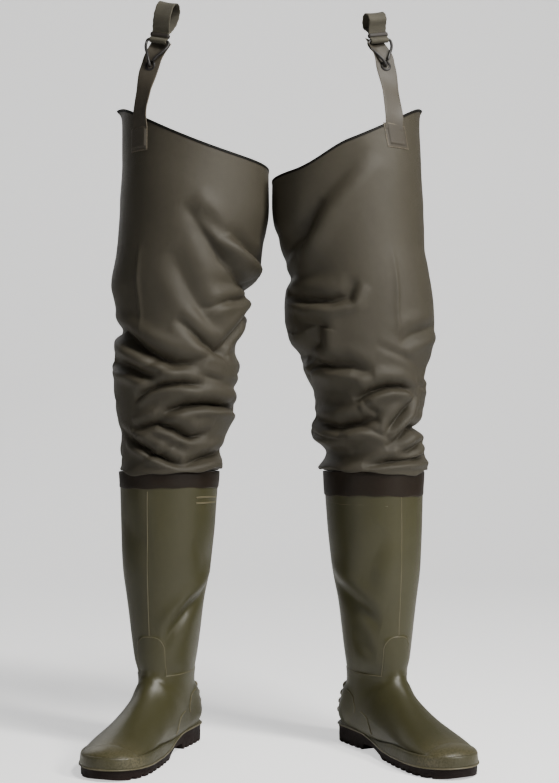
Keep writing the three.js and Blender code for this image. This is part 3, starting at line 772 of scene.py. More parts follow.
def new_material(
    name, colour, second, rough, drift=7.0, amount=0.6, grain=None, weave=None, wear=None, **fixed
):
    """A Principled material: drifting colour, rubbed marks, and a bump of grain and threads.

    grain is (scale, waves, metres of height), weave is (threads a metre across, along, metres of height),
    wear is (rubbed colour, speckle scale, scuffs, how much the piece's mark counts). fixed sets the
    shader's own sockets.
    """
    material = bpy.data.materials.new(name)
    material.use_nodes = True
    tree = material.node_tree
    shader = tree.nodes["Principled BSDF"]
    place = tree.nodes.new("ShaderNodeTexCoord")
    tone = group_node(tree, "tone")
    feed(
        tone, Coordinates=place.outputs["Object"], Base=shade(colour, 1.0), Second=second, Scale=drift,
        Amount=amount,
    )
    base = tone.outputs["Colour"]
    if wear:
        rubbed, speckle, scuffs, counts = wear
        mark = tree.nodes.new("ShaderNodeAttribute")
        mark.attribute_name = "mark"
        worn = group_node(tree, "wear")
        weight = maths(tree, "MULTIPLY", mark.outputs["Fac"], counts)
        feed(worn, Coordinates=place.outputs["Object"], Mark=weight, Scale=speckle, Scuffs=scuffs)
        base = mixed(tree, worn.outputs["Mask"], base, rubbed)
    wire_up(tree, base, shader.inputs["Base Color"])
    spread = between(tree, tone.outputs["Cloud"], 0.3, 0.7)
    uneven = maths(tree, "MULTIPLY_ADD", spread, ROUGH_SPREAD, rough - ROUGH_SPREAD / 2)
    wire_up(tree, uneven, shader.inputs["Roughness"])
    normal = None
    if grain:
        scale, waves, height = grain
        pimples = group_node(tree, "grain")
        feed(pimples, Coordinates=place.outputs["Object"], Scale=scale, Waves=waves)
        normal = bump_over(tree, pimples.outputs["Height"], height, normal)
    if weave:
        across, along, height = weave
        threads = group_node(tree, "weave")
        feed(threads, Coordinates=place.outputs["UV"], Across=across, Along=along)
        normal = bump_over(tree, threads.outputs["Height"], height, normal)
    if normal is not None:
        wire_up(tree, normal, shader.inputs["Normal"])
    for label, value in fixed.items():
        shader.inputs[label.replace("_", " ")].default_value = value
    return material


def make_materials():
    """Every finish on the pair, by a plain name."""
    colours = bpy.context.scene.wader_colours
    threads = 1 / bpy.context.scene.wader_sizes.thread
    fabric, boot, light = tuple(colours.fabric), tuple(colours.boot), tuple(colours.boot_light)
    sole, band, strap = tuple(colours.sole), tuple(colours.band), tuple(colours.strap)
    webbing, metal = tuple(colours.webbing), tuple(colours.metal)
    lining, felt = tuple(colours.lining), tuple(colours.felt)
    return {
        "fabric": new_material(
            "Coated leg fabric", fabric, shade(fabric, 0.78), 0.5, drift=5.0, amount=0.7,
            grain=(900.0, 46.0, 0.0006), weave=(threads, threads, 0.00008),
            wear=(shade(fabric, 1.5), 300.0, 0.08, 0.6),
            Specular_IOR_Level=0.3,
        ),
        "tape": new_material(
            "Seam tape", shade(fabric, 0.82)[:3], shade(fabric, 0.66), 0.42, drift=9.0,
            grain=(700.0, 80.0, 0.0003), Specular_IOR_Level=0.45,
        ),
        # Rim binding: partly its own dark colour, partly painted shade of the rolled rim edge; near black so it
        # stays dark where the lights catch it.
        "hem": new_material(
            "Rim binding in painted shade", shade(fabric, 0.1)[:3], shade(fabric, 0.05), 0.7, drift=14.0,
            grain=(900.0, 120.0, 0.0003), Specular_IOR_Level=0.2,
        ),
        "boot": new_material(
            "Moulded boot", boot, shade(boot, 0.8), 0.36, drift=6.0, amount=0.8, grain=(1500.0, 26.0, 0.0005),
            wear=(light + (1.0,), 420.0, 0.05, 0.8), Specular_IOR_Level=0.4,
        ),
        "line": new_material(
            "Moulding lines", shade(light, 0.75)[:3], shade(boot, 1.6), 0.45, drift=40.0,
            grain=(900.0, 200.0, 0.0002),
        ),
        "rand": new_material(
            "Toe rand", shade(boot, 0.96)[:3], shade(boot, 0.76), 0.46, drift=12.0, amount=0.8,
            grain=(1100.0, 240.0, 0.0005), wear=(light + (1.0,), 380.0, 0.16, 0.55), Specular_IOR_Level=0.45,
        ),
        "sole": new_material(
            "Outsole rubber", sole, shade(sole, 1.9), 0.7, drift=18.0,
            grain=(700.0, 160.0, 0.0005), wear=(shade(sole, 5.0), 240.0, 0.06, 0.4),
            Specular_IOR_Level=0.2,
        ),
        "band": new_material(
            "Weld band", band, shade(band, 0.72), 0.47, drift=11.0, amount=0.9,
            grain=(800.0, 70.0, 0.0005), wear=(shade(band, 3.0), 300.0, 0.06, 0.7),
            Specular_IOR_Level=0.22,
        ),
        "strap": new_material(
            "Strap fabric", strap, shade(strap, 0.8), 0.55, drift=18.0,
            weave=(900.0, 900.0, 0.00012), grain=(800.0, 120.0, 0.0003),
            wear=(shade(strap, 3.2), 500.0, 0.06, 1.0),
        ),
        "webbing": new_material(
            "Belt webbing", webbing, shade(webbing, 0.62), 0.78, drift=30.0,
            weave=(1000.0, 700.0, 0.00012), wear=(shade(webbing, 2.0), 700.0, 0.05, 0.6),
            Sheen_Weight=0.12, Sheen_Roughness=0.5,
        ),
        "thread": new_material(
            "Stitching", shade(webbing, 1.9)[:3], shade(webbing, 1.3), 0.7, drift=90.0,
            grain=(3000.0, 900.0, 0.0002),
        ),
        "metal": new_material(
            "Painted wire", metal, shade(metal, 1.6), 0.42, drift=60.0,
            grain=(900.0, 300.0, 0.0001), wear=((0.09, 0.085, 0.08, 1.0), 700.0, 0.1, 0.4),
            Specular_IOR_Level=0.4,
        ),
        # Keeper band: a real band whose near-black colour is painted shade, the fold shadow over the webbing roll,
        # dark even where the lights catch it.
        "keeper": new_material(
            "Keeper band in painted shade", shade(band, 0.6)[:3], shade(band, 1.0), 0.65, drift=50.0,
            grain=(900.0, 200.0, 0.0003),
        ),
        "lining": new_material(
            "Knitted lining", lining, shade(lining, 0.7), 0.92, drift=16.0,
            weave=(520.0, 420.0, 0.0005), Sheen_Weight=0.2, Sheen_Roughness=0.6,
        ),
        "felt": new_material(
            "Insole felt", felt, shade(felt, 0.7), 0.95, drift=40.0, amount=1.0,
            grain=(900.0, 380.0, 0.0012), Sheen_Weight=0.25, Sheen_Roughness=0.7,
        ),
    }


MATERIALS = {}


def finish_named(name):
    if not MATERIALS:
        MATERIALS.update(make_materials())
    return MATERIALS[name]


# --------------------------------------------------------------------------------------------------
# The stage


def aim(thing, target):
    """Turns a light or the camera so that its own -Z runs to a point."""
    away = np.array(target, float) - np.array(thing.location, float)
    flat = math.hypot(away[0], away[1])
    thing.rotation_euler = (math.atan2(flat, -away[2]), 0, math.atan2(-away[0], away[1]))


def add_light(name, place, target, size, power, tint):
    data = bpy.data.lights.new(name, "AREA")
    data.shape, data.size, data.size_y = "RECTANGLE", size[0], size[1]
    data.energy, data.color = power, tint
    light = bpy.data.objects.new(name, data)
    light.location = place
    bpy.context.scene.collection.objects.link(light)
    aim(light, target)


class WADERS_OT_stage(bpy.types.Operator):
    """Camera, soft lights, world and a pale floor that curves up behind the pair"""

    bl_idname = "waders.stage"
    bl_label = "Stage"

    CAMERA_AWAY = 2.0
    CAMERA_UP = 0.433
    LENS_SHARE = 1.798  # focal length over the picture's long side
    SHIFT_RIGHT, SHIFT_UP = 0.0102, 0.0632
    WORLD_LIGHT = 0.09
    WORLD_SEEN = 0.8  # what the camera sees of the world beyond its light
    FLOOR_GLOW = 0.8  # lifts the floor towards white without lighting the pair
    # Name, place, what it points at, width and height, watts, tint.
    LIGHTS = [
        ("Key", (1.9, -1.55, 1.7), (0, 0, 0.5), (0.42, 0.62), 68.0, (1.0, 0.975, 0.93)),
        ("Top", (0.9, -1.0, 2.3), (0, 0, 0.5), (0.5, 0.5), 50.0, (1.0, 0.985, 0.95)),
        ("Back", (-1.6, 2.6, 1.9), (0, 0, 0.5), (1.6, 1.6), 9.0, (1.0, 0.99, 0.98)),
        ("Fill", (-2.4, -2.4, 0.9), (0, 0, 0.4), (1.4, 1.6), 9.0, (1.0, 0.97, 0.94)),
    ]

    def execute(self, context):
        scene = context.scene
        data = bpy.data.cameras.new("Camera")
        data.sensor_width = 36.0
        data.lens = 36.0 * self.LENS_SHARE
        data.shift_x, data.shift_y = self.SHIFT_RIGHT, self.SHIFT_UP
        camera = bpy.data.objects.new("Camera", data)
        camera.location = (SHIFT[0] / 1000, SHIFT[1] / 1000 - self.CAMERA_AWAY, self.CAMERA_UP)
        camera.rotation_euler = (math.pi / 2, 0, 0)
        scene.collection.objects.link(camera)
        scene.camera = camera

        self.add_floor()
        for light in self.LIGHTS:
            add_light(*light)
        world = bpy.data.worlds.new("Studio")
        world.use_nodes = True
        shell = world.node_tree.nodes["Background"]
        shell.inputs["Color"].default_value = (1.0, 1.0, 1.0, 1.0)
        tree = world.node_tree
        seen = tree.nodes.new("ShaderNodeLightPath")
        camera_ray = seen.outputs["Is Camera Ray"]
        strength = maths(tree, "MULTIPLY_ADD", camera_ray, self.WORLD_SEEN, self.WORLD_LIGHT)
        wire_up(tree, strength, shell.inputs["Strength"])
        scene.world = world
        return {"FINISHED"}

    def add_floor(self):
        """A flat sheet that turns up behind in a quarter circle: depth and height follow one bent profile."""
        turn = np.linspace(0, math.pi / 2, 24)
        radius, back, front, side, top = 1.6, 2.4, -6.0, 7.0, 6.0
        depth = np.concatenate([[front, -2.0, 0.0], back + radius * np.sin(turn), [back + radius]])
        height = np.concatenate([[0.0, 0.0, 0.0], radius * (1 - np.cos(turn)), [top]])
        across = np.linspace(-side, side, 9)
        x, y = np.meshgrid(across, depth)
        z = np.repeat(height[:, None], len(across), axis=1)
        quads, _ = grid_faces(len(depth), len(across), closed_columns=False)
        mesh = bpy.data.meshes.new("floor")
        mesh.from_pydata(np.stack([x, y, z], axis=-1).reshape(-1, 3).tolist(), [], quads.tolist())
        mesh.shade_smooth()
        material = bpy.data.materials.new("Pale floor")
        material.use_nodes = True
        tree = material.node_tree
        shader = tree.nodes["Principled BSDF"]
        shader.inputs["Roughness"].default_value = 0.9
        shader.inputs["Specular IOR Level"].default_value = 0.1
        place = tree.nodes.new("ShaderNodeTexCoord")
        cloud = noise(tree, place.outputs["Object"], 2.0, 2.0, 0.5)
        pale = mixed(tree, cloud, (0.9, 0.9, 0.9, 1), (0.93, 0.93, 0.93, 1))
        wire_up(tree, pale, shader.inputs["Base Color"])
        seen = tree.nodes.new("ShaderNodeLightPath")
        glow = maths(tree, "MULTIPLY", seen.outputs["Is Camera Ray"], self.FLOOR_GLOW)
        shader.inputs["Emission Color"].default_value = (1.0, 1.0, 1.0, 1.0)
        wire_up(tree, glow, shader.inputs["Emission Strength"])
        mesh.materials.append(material)
        floor = bpy.data.objects.new("floor", mesh)
        bpy.context.scene.collection.objects.link(floor)


# --------------------------------------------------------------------------------------------------
# Boots


def boot_stations():
    """Every section of the boot from the top of the shaft to the start of the toe, as rows of numbers.

    A row is the back or bottom point's forward and up, the front or top point's, the half width, the widest
    share, the squareness, the middle's side and the axis's distance out.
    """
    rows = []
    for up in (389, 347, 305, 278, 250, 228, 205, 182, 160, 141, 122):
        axis_out, forward, half_width, half_depth = leg_row(up)
        rows.append([forward - half_depth, up, forward + half_depth, up, half_width, 0.5, 2, 0, axis_out])
    for degrees, near, far, half_width, widest, square in ANKLE:
        cosine, sine = math.cos(math.radians(degrees)), math.sin(math.radians(degrees))
        rows.append([
            ANKLE_FORWARD - far * cosine, ANKLE_UP - far * sine, ANKLE_FORWARD - near * cosine,
            ANKLE_UP - near * sine, half_width, widest, square, 0, FOOT_OUT,
        ])
    for forward, high, low, half_width, widest, square in FOOT:
        middle = float(np.interp(forward, FOOT_MIDDLE[:, 0], FOOT_MIDDLE[:, 1]))
        middle *= float(smoothstep(forward, ANKLE_FORWARD, TOE_TIP_FORWARD))
        rows.append([forward, low, forward, high, half_width, widest, square, middle, FOOT_OUT])
    return np.array(rows)


def boot_form(grow, rows, columns, top=SHAFT_TOP):
    """The boot's form as a grid of points in the foot's own terms, with the bearing round each section.

    Each section is a ring between a back point and a front point: half of it an ellipse, the other half a
    squarer curve whose cosine and sine are raised to 2 over the squareness. Sections are read at even steps
    along the boot and blurred; the toe closes as a quarter ellipse.
    """
    stations = boot_stations()
    steps = np.linalg.norm(np.diff(stations[:, :2], axis=0), axis=1)
    steps = 0.5 * steps + 0.5 * np.linalg.norm(np.diff(stations[:, 2:4], axis=0), axis=1)
    at = np.concatenate([[0], np.cumsum(steps)])
    fine = np.linspace(0, at[-1], 700)
    values = np.stack([np.interp(fine, at, column) for column in stations.T], axis=1)
    values = blurred(values, 10.0 / (fine[1] - fine[0]))
    body = np.linspace(0, at[-1], rows)
    values = np.stack([np.interp(body, fine, column) for column in values.T], axis=1)
    cap = np.linspace(0, 0.985, max(6, rows // 9))[1:] * math.pi / 2
    end = values[-1]
    low_up = end[1] + (TOE_TIP_UP - end[1]) * (1 - np.cos(cap))
    high_up = end[3] + (TOE_TIP_UP - end[3]) * (1 - np.cos(cap))
    ahead = end[0] + (TOE_TIP_FORWARD + grow - end[0]) * np.sin(cap)
    middle = end[7] + (-7.5 - end[7]) * np.sin(cap)
    toe = np.stack([
        ahead, low_up, ahead, high_up, end[4] * np.cos(cap) ** 0.92, np.full(len(cap), end[5]),
        np.full(len(cap), end[6]), middle, np.full(len(cap), FOOT_OUT),
    ], axis=1)
    shrink = np.concatenate([np.ones(rows), np.cos(cap) ** 0.92])
    values = np.concatenate([values, toe])
    values[0, [1, 3]] = top
    low, high = values[:, 0:2], values[:, 2:4]
    run = unit(high - low)
    low = low - (grow * shrink)[:, None] * run
    length = np.linalg.norm(high - values[:, 0:2], axis=1) + 2 * grow * shrink
    turn = np.linspace(0, 2 * math.pi, columns, endpoint=False)[None]
    along, across = np.cos(turn), np.sin(turn)
    widest, square = values[:, 5:6], values[:, 6:7]
    instep = smoothstep(values[:, 0:1], -20, 60) * (1 - smoothstep(values[:, 3:4], 110, 150))
    power = np.where(along < 0, 2 / square, 1.0 + 0.22 * instep)
    reach = np.where(along < 0, widest, 1 - widest)
    distance = length[:, None] * (widest + np.sign(along) * reach * np.abs(along) ** power)
    forward = low[:, 0:1] + run[:, 0:1] * distance
    up = low[:, 1:2] + run[:, 1:2] * distance
    half_width = values[:, 4:5] + grow * shrink[:, None]
    side = half_width * np.sign(across) * np.abs(across) ** power + values[:, 7:8]
    axis_out = np.broadcast_to(values[:, 8:9], forward.shape)
    return forward, side, up, axis_out, np.broadcast_to(turn, forward.shape)


def boot_surface(wader, grow, rows, columns, detail=True, top=SHAFT_TOP):
    """The boot's form with its moulded relief: shin patch, the foot's thicker skin, heel and soft kinks."""
    forward, side, up, axis_out, turn = boot_form(grow, rows, columns, top)
    points = leg_point(wader, forward, side, up, axis_out)
    bearing = math.pi / 2 - turn
    push, _ = fold_relief(wader["shaft_folds"], bearing, up)
    push = push * smoothstep(up, 112, 150) * (1 - smoothstep(up, 350, 385))
    if detail:
        shin = smoothstep(forward, 20, 40) * (1 - smoothstep(np.abs(side), 19.2, 20.8))
        shin = shin * (1 - smoothstep(up + side**4 / 26000, 161.5, 163)) * smoothstep(up, 96, 110)
        skin = 1 - smoothstep(up - 0.03 * (30 - forward), 107, 108.6)
        push = push + 0.9 * np.maximum(shin, skin)
        heel = smoothstep(-forward, 2, 40) * (1 - smoothstep(up, 74, 90)) * smoothstep(up, 24, 46)
        push = push + 4.2 * heel
    normal = normals_of(points)
    outward = points - points.mean(axis=1, keepdims=True)
    normal = normal * np.sign((normal * outward).sum(-1, keepdims=True).mean())
    points = points + push[..., None] * normal
    return points, normal, forward, side, up


def sole_half_width(forward):
    """Half the outline's width: blurred runs between rows, a heel arc behind, half an ellipse at the toe."""
    plain = sole_line_at(forward)[0]
    heel_middle, heel_length, heel_half = HEEL_ROUND
    toe_middle, toe_length, toe_half = TOE_ROUND
    heel = heel_half * np.sqrt(np.clip(1 - ((forward - heel_middle) / heel_length) ** 2, 0, 1))
    toe = toe_half * np.sqrt(np.clip(1 - ((forward - toe_middle) / toe_length) ** 2, 0, 1))
    plain = np.where(forward < heel_middle, heel, plain)
    return np.where(forward > toe_middle, toe, plain)


def sole_outline(count):
    """The outsole's outline seen from above, as even steps round it, with its outward direction."""
    forward = SOLE_MIDDLE - SOLE_HALF * np.cos(np.linspace(0, math.pi, 600))
    half = sole_half_width(forward)
    middle = foot_middle_at(forward)[0]
    edge = np.concatenate([
        np.stack([forward, middle + half], 1), np.stack([forward[::-1], (middle - half)[::-1]], 1)[1:-1],
    ])
    ring = np.concatenate([edge, edge[:1]])
    steps = np.concatenate([[0], np.cumsum(np.linalg.norm(np.diff(ring, axis=0), axis=1))])
    at = np.linspace(0, steps[-1], count, endpoint=False)
    ring = np.stack([np.interp(at, steps, column) for column in ring.T], axis=1)
    wrapped = blurred(np.concatenate([ring[-20:], ring, ring[:20]]), 2.0)[20:-20]
    ahead = unit(np.roll(wrapped, -1, axis=0) - np.roll(wrapped, 1, axis=0))
    outward = np.stack([-ahead[:, 1], ahead[:, 0]], axis=1)
    centre = wrapped - wrapped.mean(0)
    outward *= np.sign((outward * centre).sum())
    return wrapped, outward


def sole_slab(surface, wader, top, bottom, inset, rows=300, across=56, walls=6, spread=1.0, groove=None):
    """A slab of the outline between two heights: a ring of bottom, wall, top and wall for each section."""
    forward = SOLE_MIDDLE - (SOLE_HALF - inset) * np.cos(np.linspace(0.0, math.pi, rows))
    stretched = forward * (1 + inset / SOLE_HALF) - inset / 2
    stretched = np.clip(stretched, SOLE_MIDDLE - SOLE_HALF, SOLE_MIDDLE + SOLE_HALF)
    half = np.maximum(sole_half_width(stretched) - inset, 0.4)
    middle = foot_middle_at(forward)[0]
    share = np.concatenate([
        np.linspace(-1, 1, across), np.ones(walls), np.linspace(1, -1, across // 3), -np.ones(walls),
    ])
    lift = np.concatenate([
        np.zeros(across), np.linspace(0, 1, walls + 2)[1:-1], np.ones(across // 3),
        np.linspace(1, 0, walls + 2)[1:-1],
    ])
    side = half[:, None] * share[None]
    low = np.broadcast_to(bottom(forward)[:, None], side.shape)
    if groove is not None:
        low = low + groove(forward[:, None], side, half[:, None])
    high = top(forward)[:, None]
    up = low + (high - low) * lift[None]
    taper = 1 - 0.03 * (1 - lift[None]) * spread
    wall_line = ((lift > 0.55) & (lift < 0.8))[None] * 0.012 * spread
    ring = foot_point(wader, forward[:, None], middle[:, None] + side * (taper - wall_line), up)
    mark = np.broadcast_to((lift[None] < 0.1) & (np.abs(share[None]) > 0.97), side.shape)
    surface.add(ring, (0.002, 0.001), caps=True, marks=mark)
    return surface


def tread(forward, side, half):
    """How deep the tread is cut: bars in shallow chevrons under heel and forefoot, with a plain waist."""
    phase = forward + 0.3 * np.abs(side)
    cut = smoothstep(np.abs((phase % 15.0) - 7.5), 4.6, 5.6)
    split = 1 - smoothstep(np.abs(side), 1.6, 2.6)
    heel = smoothstep(forward, -66, -62) * (1 - smoothstep(forward, 6, 10))
    fore = smoothstep(forward, 84, 88) * (1 - smoothstep(forward, 206, 212))
    edge = 0.55 + 0.45 * smoothstep(np.abs(side) / half, 0.7, 0.98)
    return 4.0 * np.maximum(cut * edge, split * 0.8) * np.maximum(heel, fore)


def line_on(points, normal, choose, path, radius, surface, flat=1.0, lift=0.0, blur=3.0):
    """Lays a thin rounded line on a surface: each target finds its nearest point in two chosen measures."""
    first, second, allowed = choose
    dense = curve_through(np.array(path, float), max(24, 10 * len(path)))
    gaps = (first.ravel()[None] - dense[:, 0:1]) ** 2 + (second.ravel()[None] - dense[:, 1:2]) ** 2
    gaps = gaps + np.where(allowed.ravel()[None], 0.0, FAR_AWAY)
    index = gaps.argmin(axis=1)
    track = points.reshape(-1, 3)[index]
    facing = normal.reshape(-1, 3)[index]
    track = blurred(track, blur)
    facing = unit(blurred(facing, blur))
    rings = tube_rings(track + lift * facing, radius, 8, facing=facing, flat=flat)
    surface.add(rings, (0.001, 0.002), caps=True, marks=np.full(rings.shape[:2], 1.0))


class WADERS_OT_boots(bpy.types.Operator):
    """Moulded boot uppers with their relief, their lines, heel ribs, toe rand and parting bead"""

    bl_idname = "waders.boots"
    bl_label = "Boots"

    RIB_LEVELS, RIB_REACH, RIB_RADIUS = (83, 70.5, 58, 45.5), 25, 4.6

    def execute(self, context):
        for name, wader in WADERS.items():
            self.make_upper(name, wader)
            self.make_rand(name, wader)
        return {"FINISHED"}

    def make_upper(self, name, wader):
        points, normal, forward, side, up = boot_surface(wader, 0.0, 290, 208)
        inner = boot_surface(wader, -SHELL_WALL, 40, 208, detail=False)[0]
        rim = points[0] * 0.5 + inner[0] * 0.5 + [0, 0, 0.5]
        toe = smoothstep(forward, 150, 205) * (1 - smoothstep(up, 40, 56)) * 0.5
        body = Surface()
        rows = np.concatenate([points[::-1], rim[None], inner])
        marks = np.concatenate([toe[::-1], np.zeros((1 + len(inner), points.shape[1]))])
        body.add(rows, (0.002, 0.002), caps=True, marks=marks)
        body.make(
            f"{name}_boot_upper", f"{name}_boot", finish_named("boot"),
            [f"{name}_boot_shell"], 50,
        )

        lines = Surface()
        front = (forward > 25) & (up > 96) & (np.abs(side) < 34)
        seam = [(0.0, z) for z in (364, 320, 270, 220, 180, 163)]
        line_on(points, normal, (side, up, front), seam, 0.75, lines, lift=-0.25)
        shin = [(20.2, 108), (20.4, 135), (19.4, 150), (13, 159.6)]
        shin = [(-x, z) for x, z in shin] + [(0, 162.4)] + shin[::-1]
        line_on(points, normal, (side, up, front), shin, 0.6, lines, lift=0.1)
        back = [(0.0, z) for z in (364, 320, 270, 220, 170, 120)]
        line_on(points, normal, (side, up, (forward < -30) & (up > 100)), back, 0.7, lines, lift=-0.25)
        for half in (-1, 1):
            flank = (side * half > 0) & (np.abs(side) > 14)
            ankle = [(46, 106.6), (30, 107.2), (0, 108), (-30, 109), (-48, 109.6)]
            line_on(points, normal, (forward, up, flank), ankle, 0.55, lines, lift=0.15)
            for arc in ([(-24, 80), (-12, 76), (-5, 66), (-3, 52)], [(14, 54), (28, 50), (38, 40), (44, 28)]):
                line_on(points, normal, (forward, up, flank), arc, 0.85, lines, lift=0.25)
        if name == "right":
            for level in (355, 347):
                rib = [(34, level), (20, level), (0, level), (-14, level)]
                line_on(points, normal, (forward, up, side < -20), rib, 1.3, lines, flat=0.7, lift=0.1)
        else:
            level = wader["band_low"]
            edge = [(-40, level - 12), (0, level - 11), (30, level - 13), (52, level - 12), (66, level - 14)]
            line_on(points, normal, (forward, up, side < 5), edge, 0.5, lines, lift=-0.1)
        lines.make(f"{name}_moulding_lines", f"{name}_boot", finish_named("line"))

        ribs = Surface()
        end, half = self.RIB_REACH, self.RIB_REACH / 2
        for level in self.RIB_LEVELS:
            rib = [(-end, level - 2), (-half, level), (0, level + 0.6), (half, level), (end, level - 2)]
            where = (side, up, forward < -35)
            line_on(points, normal, where, rib, self.RIB_RADIUS, ribs, flat=0.62, lift=0.0, blur=2.0)
        ribs.make(f"{name}_heel_ribs", f"{name}_boot", finish_named("boot"))

    def make_rand(self, name, wader):
        outline, outward = sole_outline(460)
        parting = sole_line_at(outline[:, 0])[1]
        tall = 3.4 + 11.6 * smoothstep(outline[:, 0], 30, 120)
        section = np.array([
            [-9, 0.3], [0.3, 0.3], [0.9, 0.9], [0.9, 2.2], [0.6, 5.5], [0.2, 9.0], [-0.3, 12.6], [-0.8, 14.2],
            [-1.6, 15.0], [-2.6, 15.1], [-6, 14.4], [-12, 10.0],
        ])
        reach = outline[:, None] + section[None, :, 0:1] * outward[:, None]
        height = parting[:, None] + section[None, :, 1] * (tall / 15.0)[:, None]
        knurl = np.exp(-(((outline[:, 0] - 196) / 22) ** 2))[:, None] * (section[None, :, 1] > 2)
        rings = foot_point(wader, reach[..., 0], reach[..., 1], height)
        rand = Surface()
        rand.add(rings, (0.0015, 0.0018), closed_rows=True, marks=np.broadcast_to(knurl, height.shape))
        rand.make(f"{name}_rand", f"{name}_boot", finish_named("rand"), sharp=55)

        bead = Surface()
        path = foot_point(wader, *(outline + 1.2 * outward).T, parting + 0.1)
        rings = tube_rings(path, 1.05, 8, closed=True)
        bead.add(rings, (0.001, 0.002), closed_rows=True, marks=np.ones(rings.shape[:2]))
        bead.make(f"{name}_parting_bead", f"{name}_boot", finish_named("line"))


class WADERS_OT_soles(bpy.types.Operator):
    """Outsoles with a cleated tread, felt insoles and the knitted lining"""

    bl_idname = "waders.soles"
    bl_label = "Soles and linings"

    def execute(self, context):
        for name, wader in WADERS.items():
            body = f"{name}_boot"
            sole = Surface()
            sole_slab(
                sole, wader, lambda f: sole_line_at(f)[1] - 0.1, lambda f: sole_under_at(f)[0], 0.0,
                groove=tread,
            )
            sole.make(
                f"{name}_cleated_sole", body, finish_named("sole"),
                [f"{name}_outsole"], 35,
            )

            insole = Surface()
            sole_slab(
                insole, wader, lambda f: sole_line_at(f)[1] + 9.0, lambda f: sole_line_at(f)[1] + 5.0, 9.0,
                rows=120, across=30, walls=3, spread=0.0,
            )
            insole.make(
                f"{name}_felt_insole", body, finish_named("felt"),
                [f"{name}_insole"], 50,
            )

            outer = boot_surface(wader, -SHELL_WALL - 0.4, 110, 120, detail=False, top=SHAFT_TOP - 5)[0]
            inner = boot_surface(wader, -SHELL_WALL - 1.6, 110, 120, detail=False, top=SHAFT_TOP - 5)[0]
            rim = outer[0] * 0.5 + inner[0] * 0.5 + [0, 0, 0.5]
            knit = Surface()
            knit.add(np.concatenate([outer[::-1], rim[None], inner]), (0.004, 0.005), caps=True)
            knit.make(
                f"{name}_knit_lining", body, finish_named("lining"),
                [f"{name}_boot_lining"], 50,
            )
        return {"FINISHED"}


# --------------------------------------------------------------------------------------------------
# Legs


def prepare_waders():
    """Adds to each wader what its fabric surface reads: its edges, all its folds and the lip over the boot."""
    for wader in WADERS.values():
        wader["edge_at"] = table(wader["edges"], 1.0, 3.0)
        wader["all_folds"] = wader["folds"] + loose_folds(wader["seed"])
        outer_side = wader["sign"] < 0

        def lip(bearing, outer_side=outer_side):
            """How far the slack fabric stands over the boot's band: least on the outer side."""
            facing = 0.5 - 0.5 * np.cos(bearing - math.radians(10 if outer_side else 60))
            return 3.4 + 4.6 * facing ** (1.5 if outer_side else 0.6)

        wader["lip"] = lip


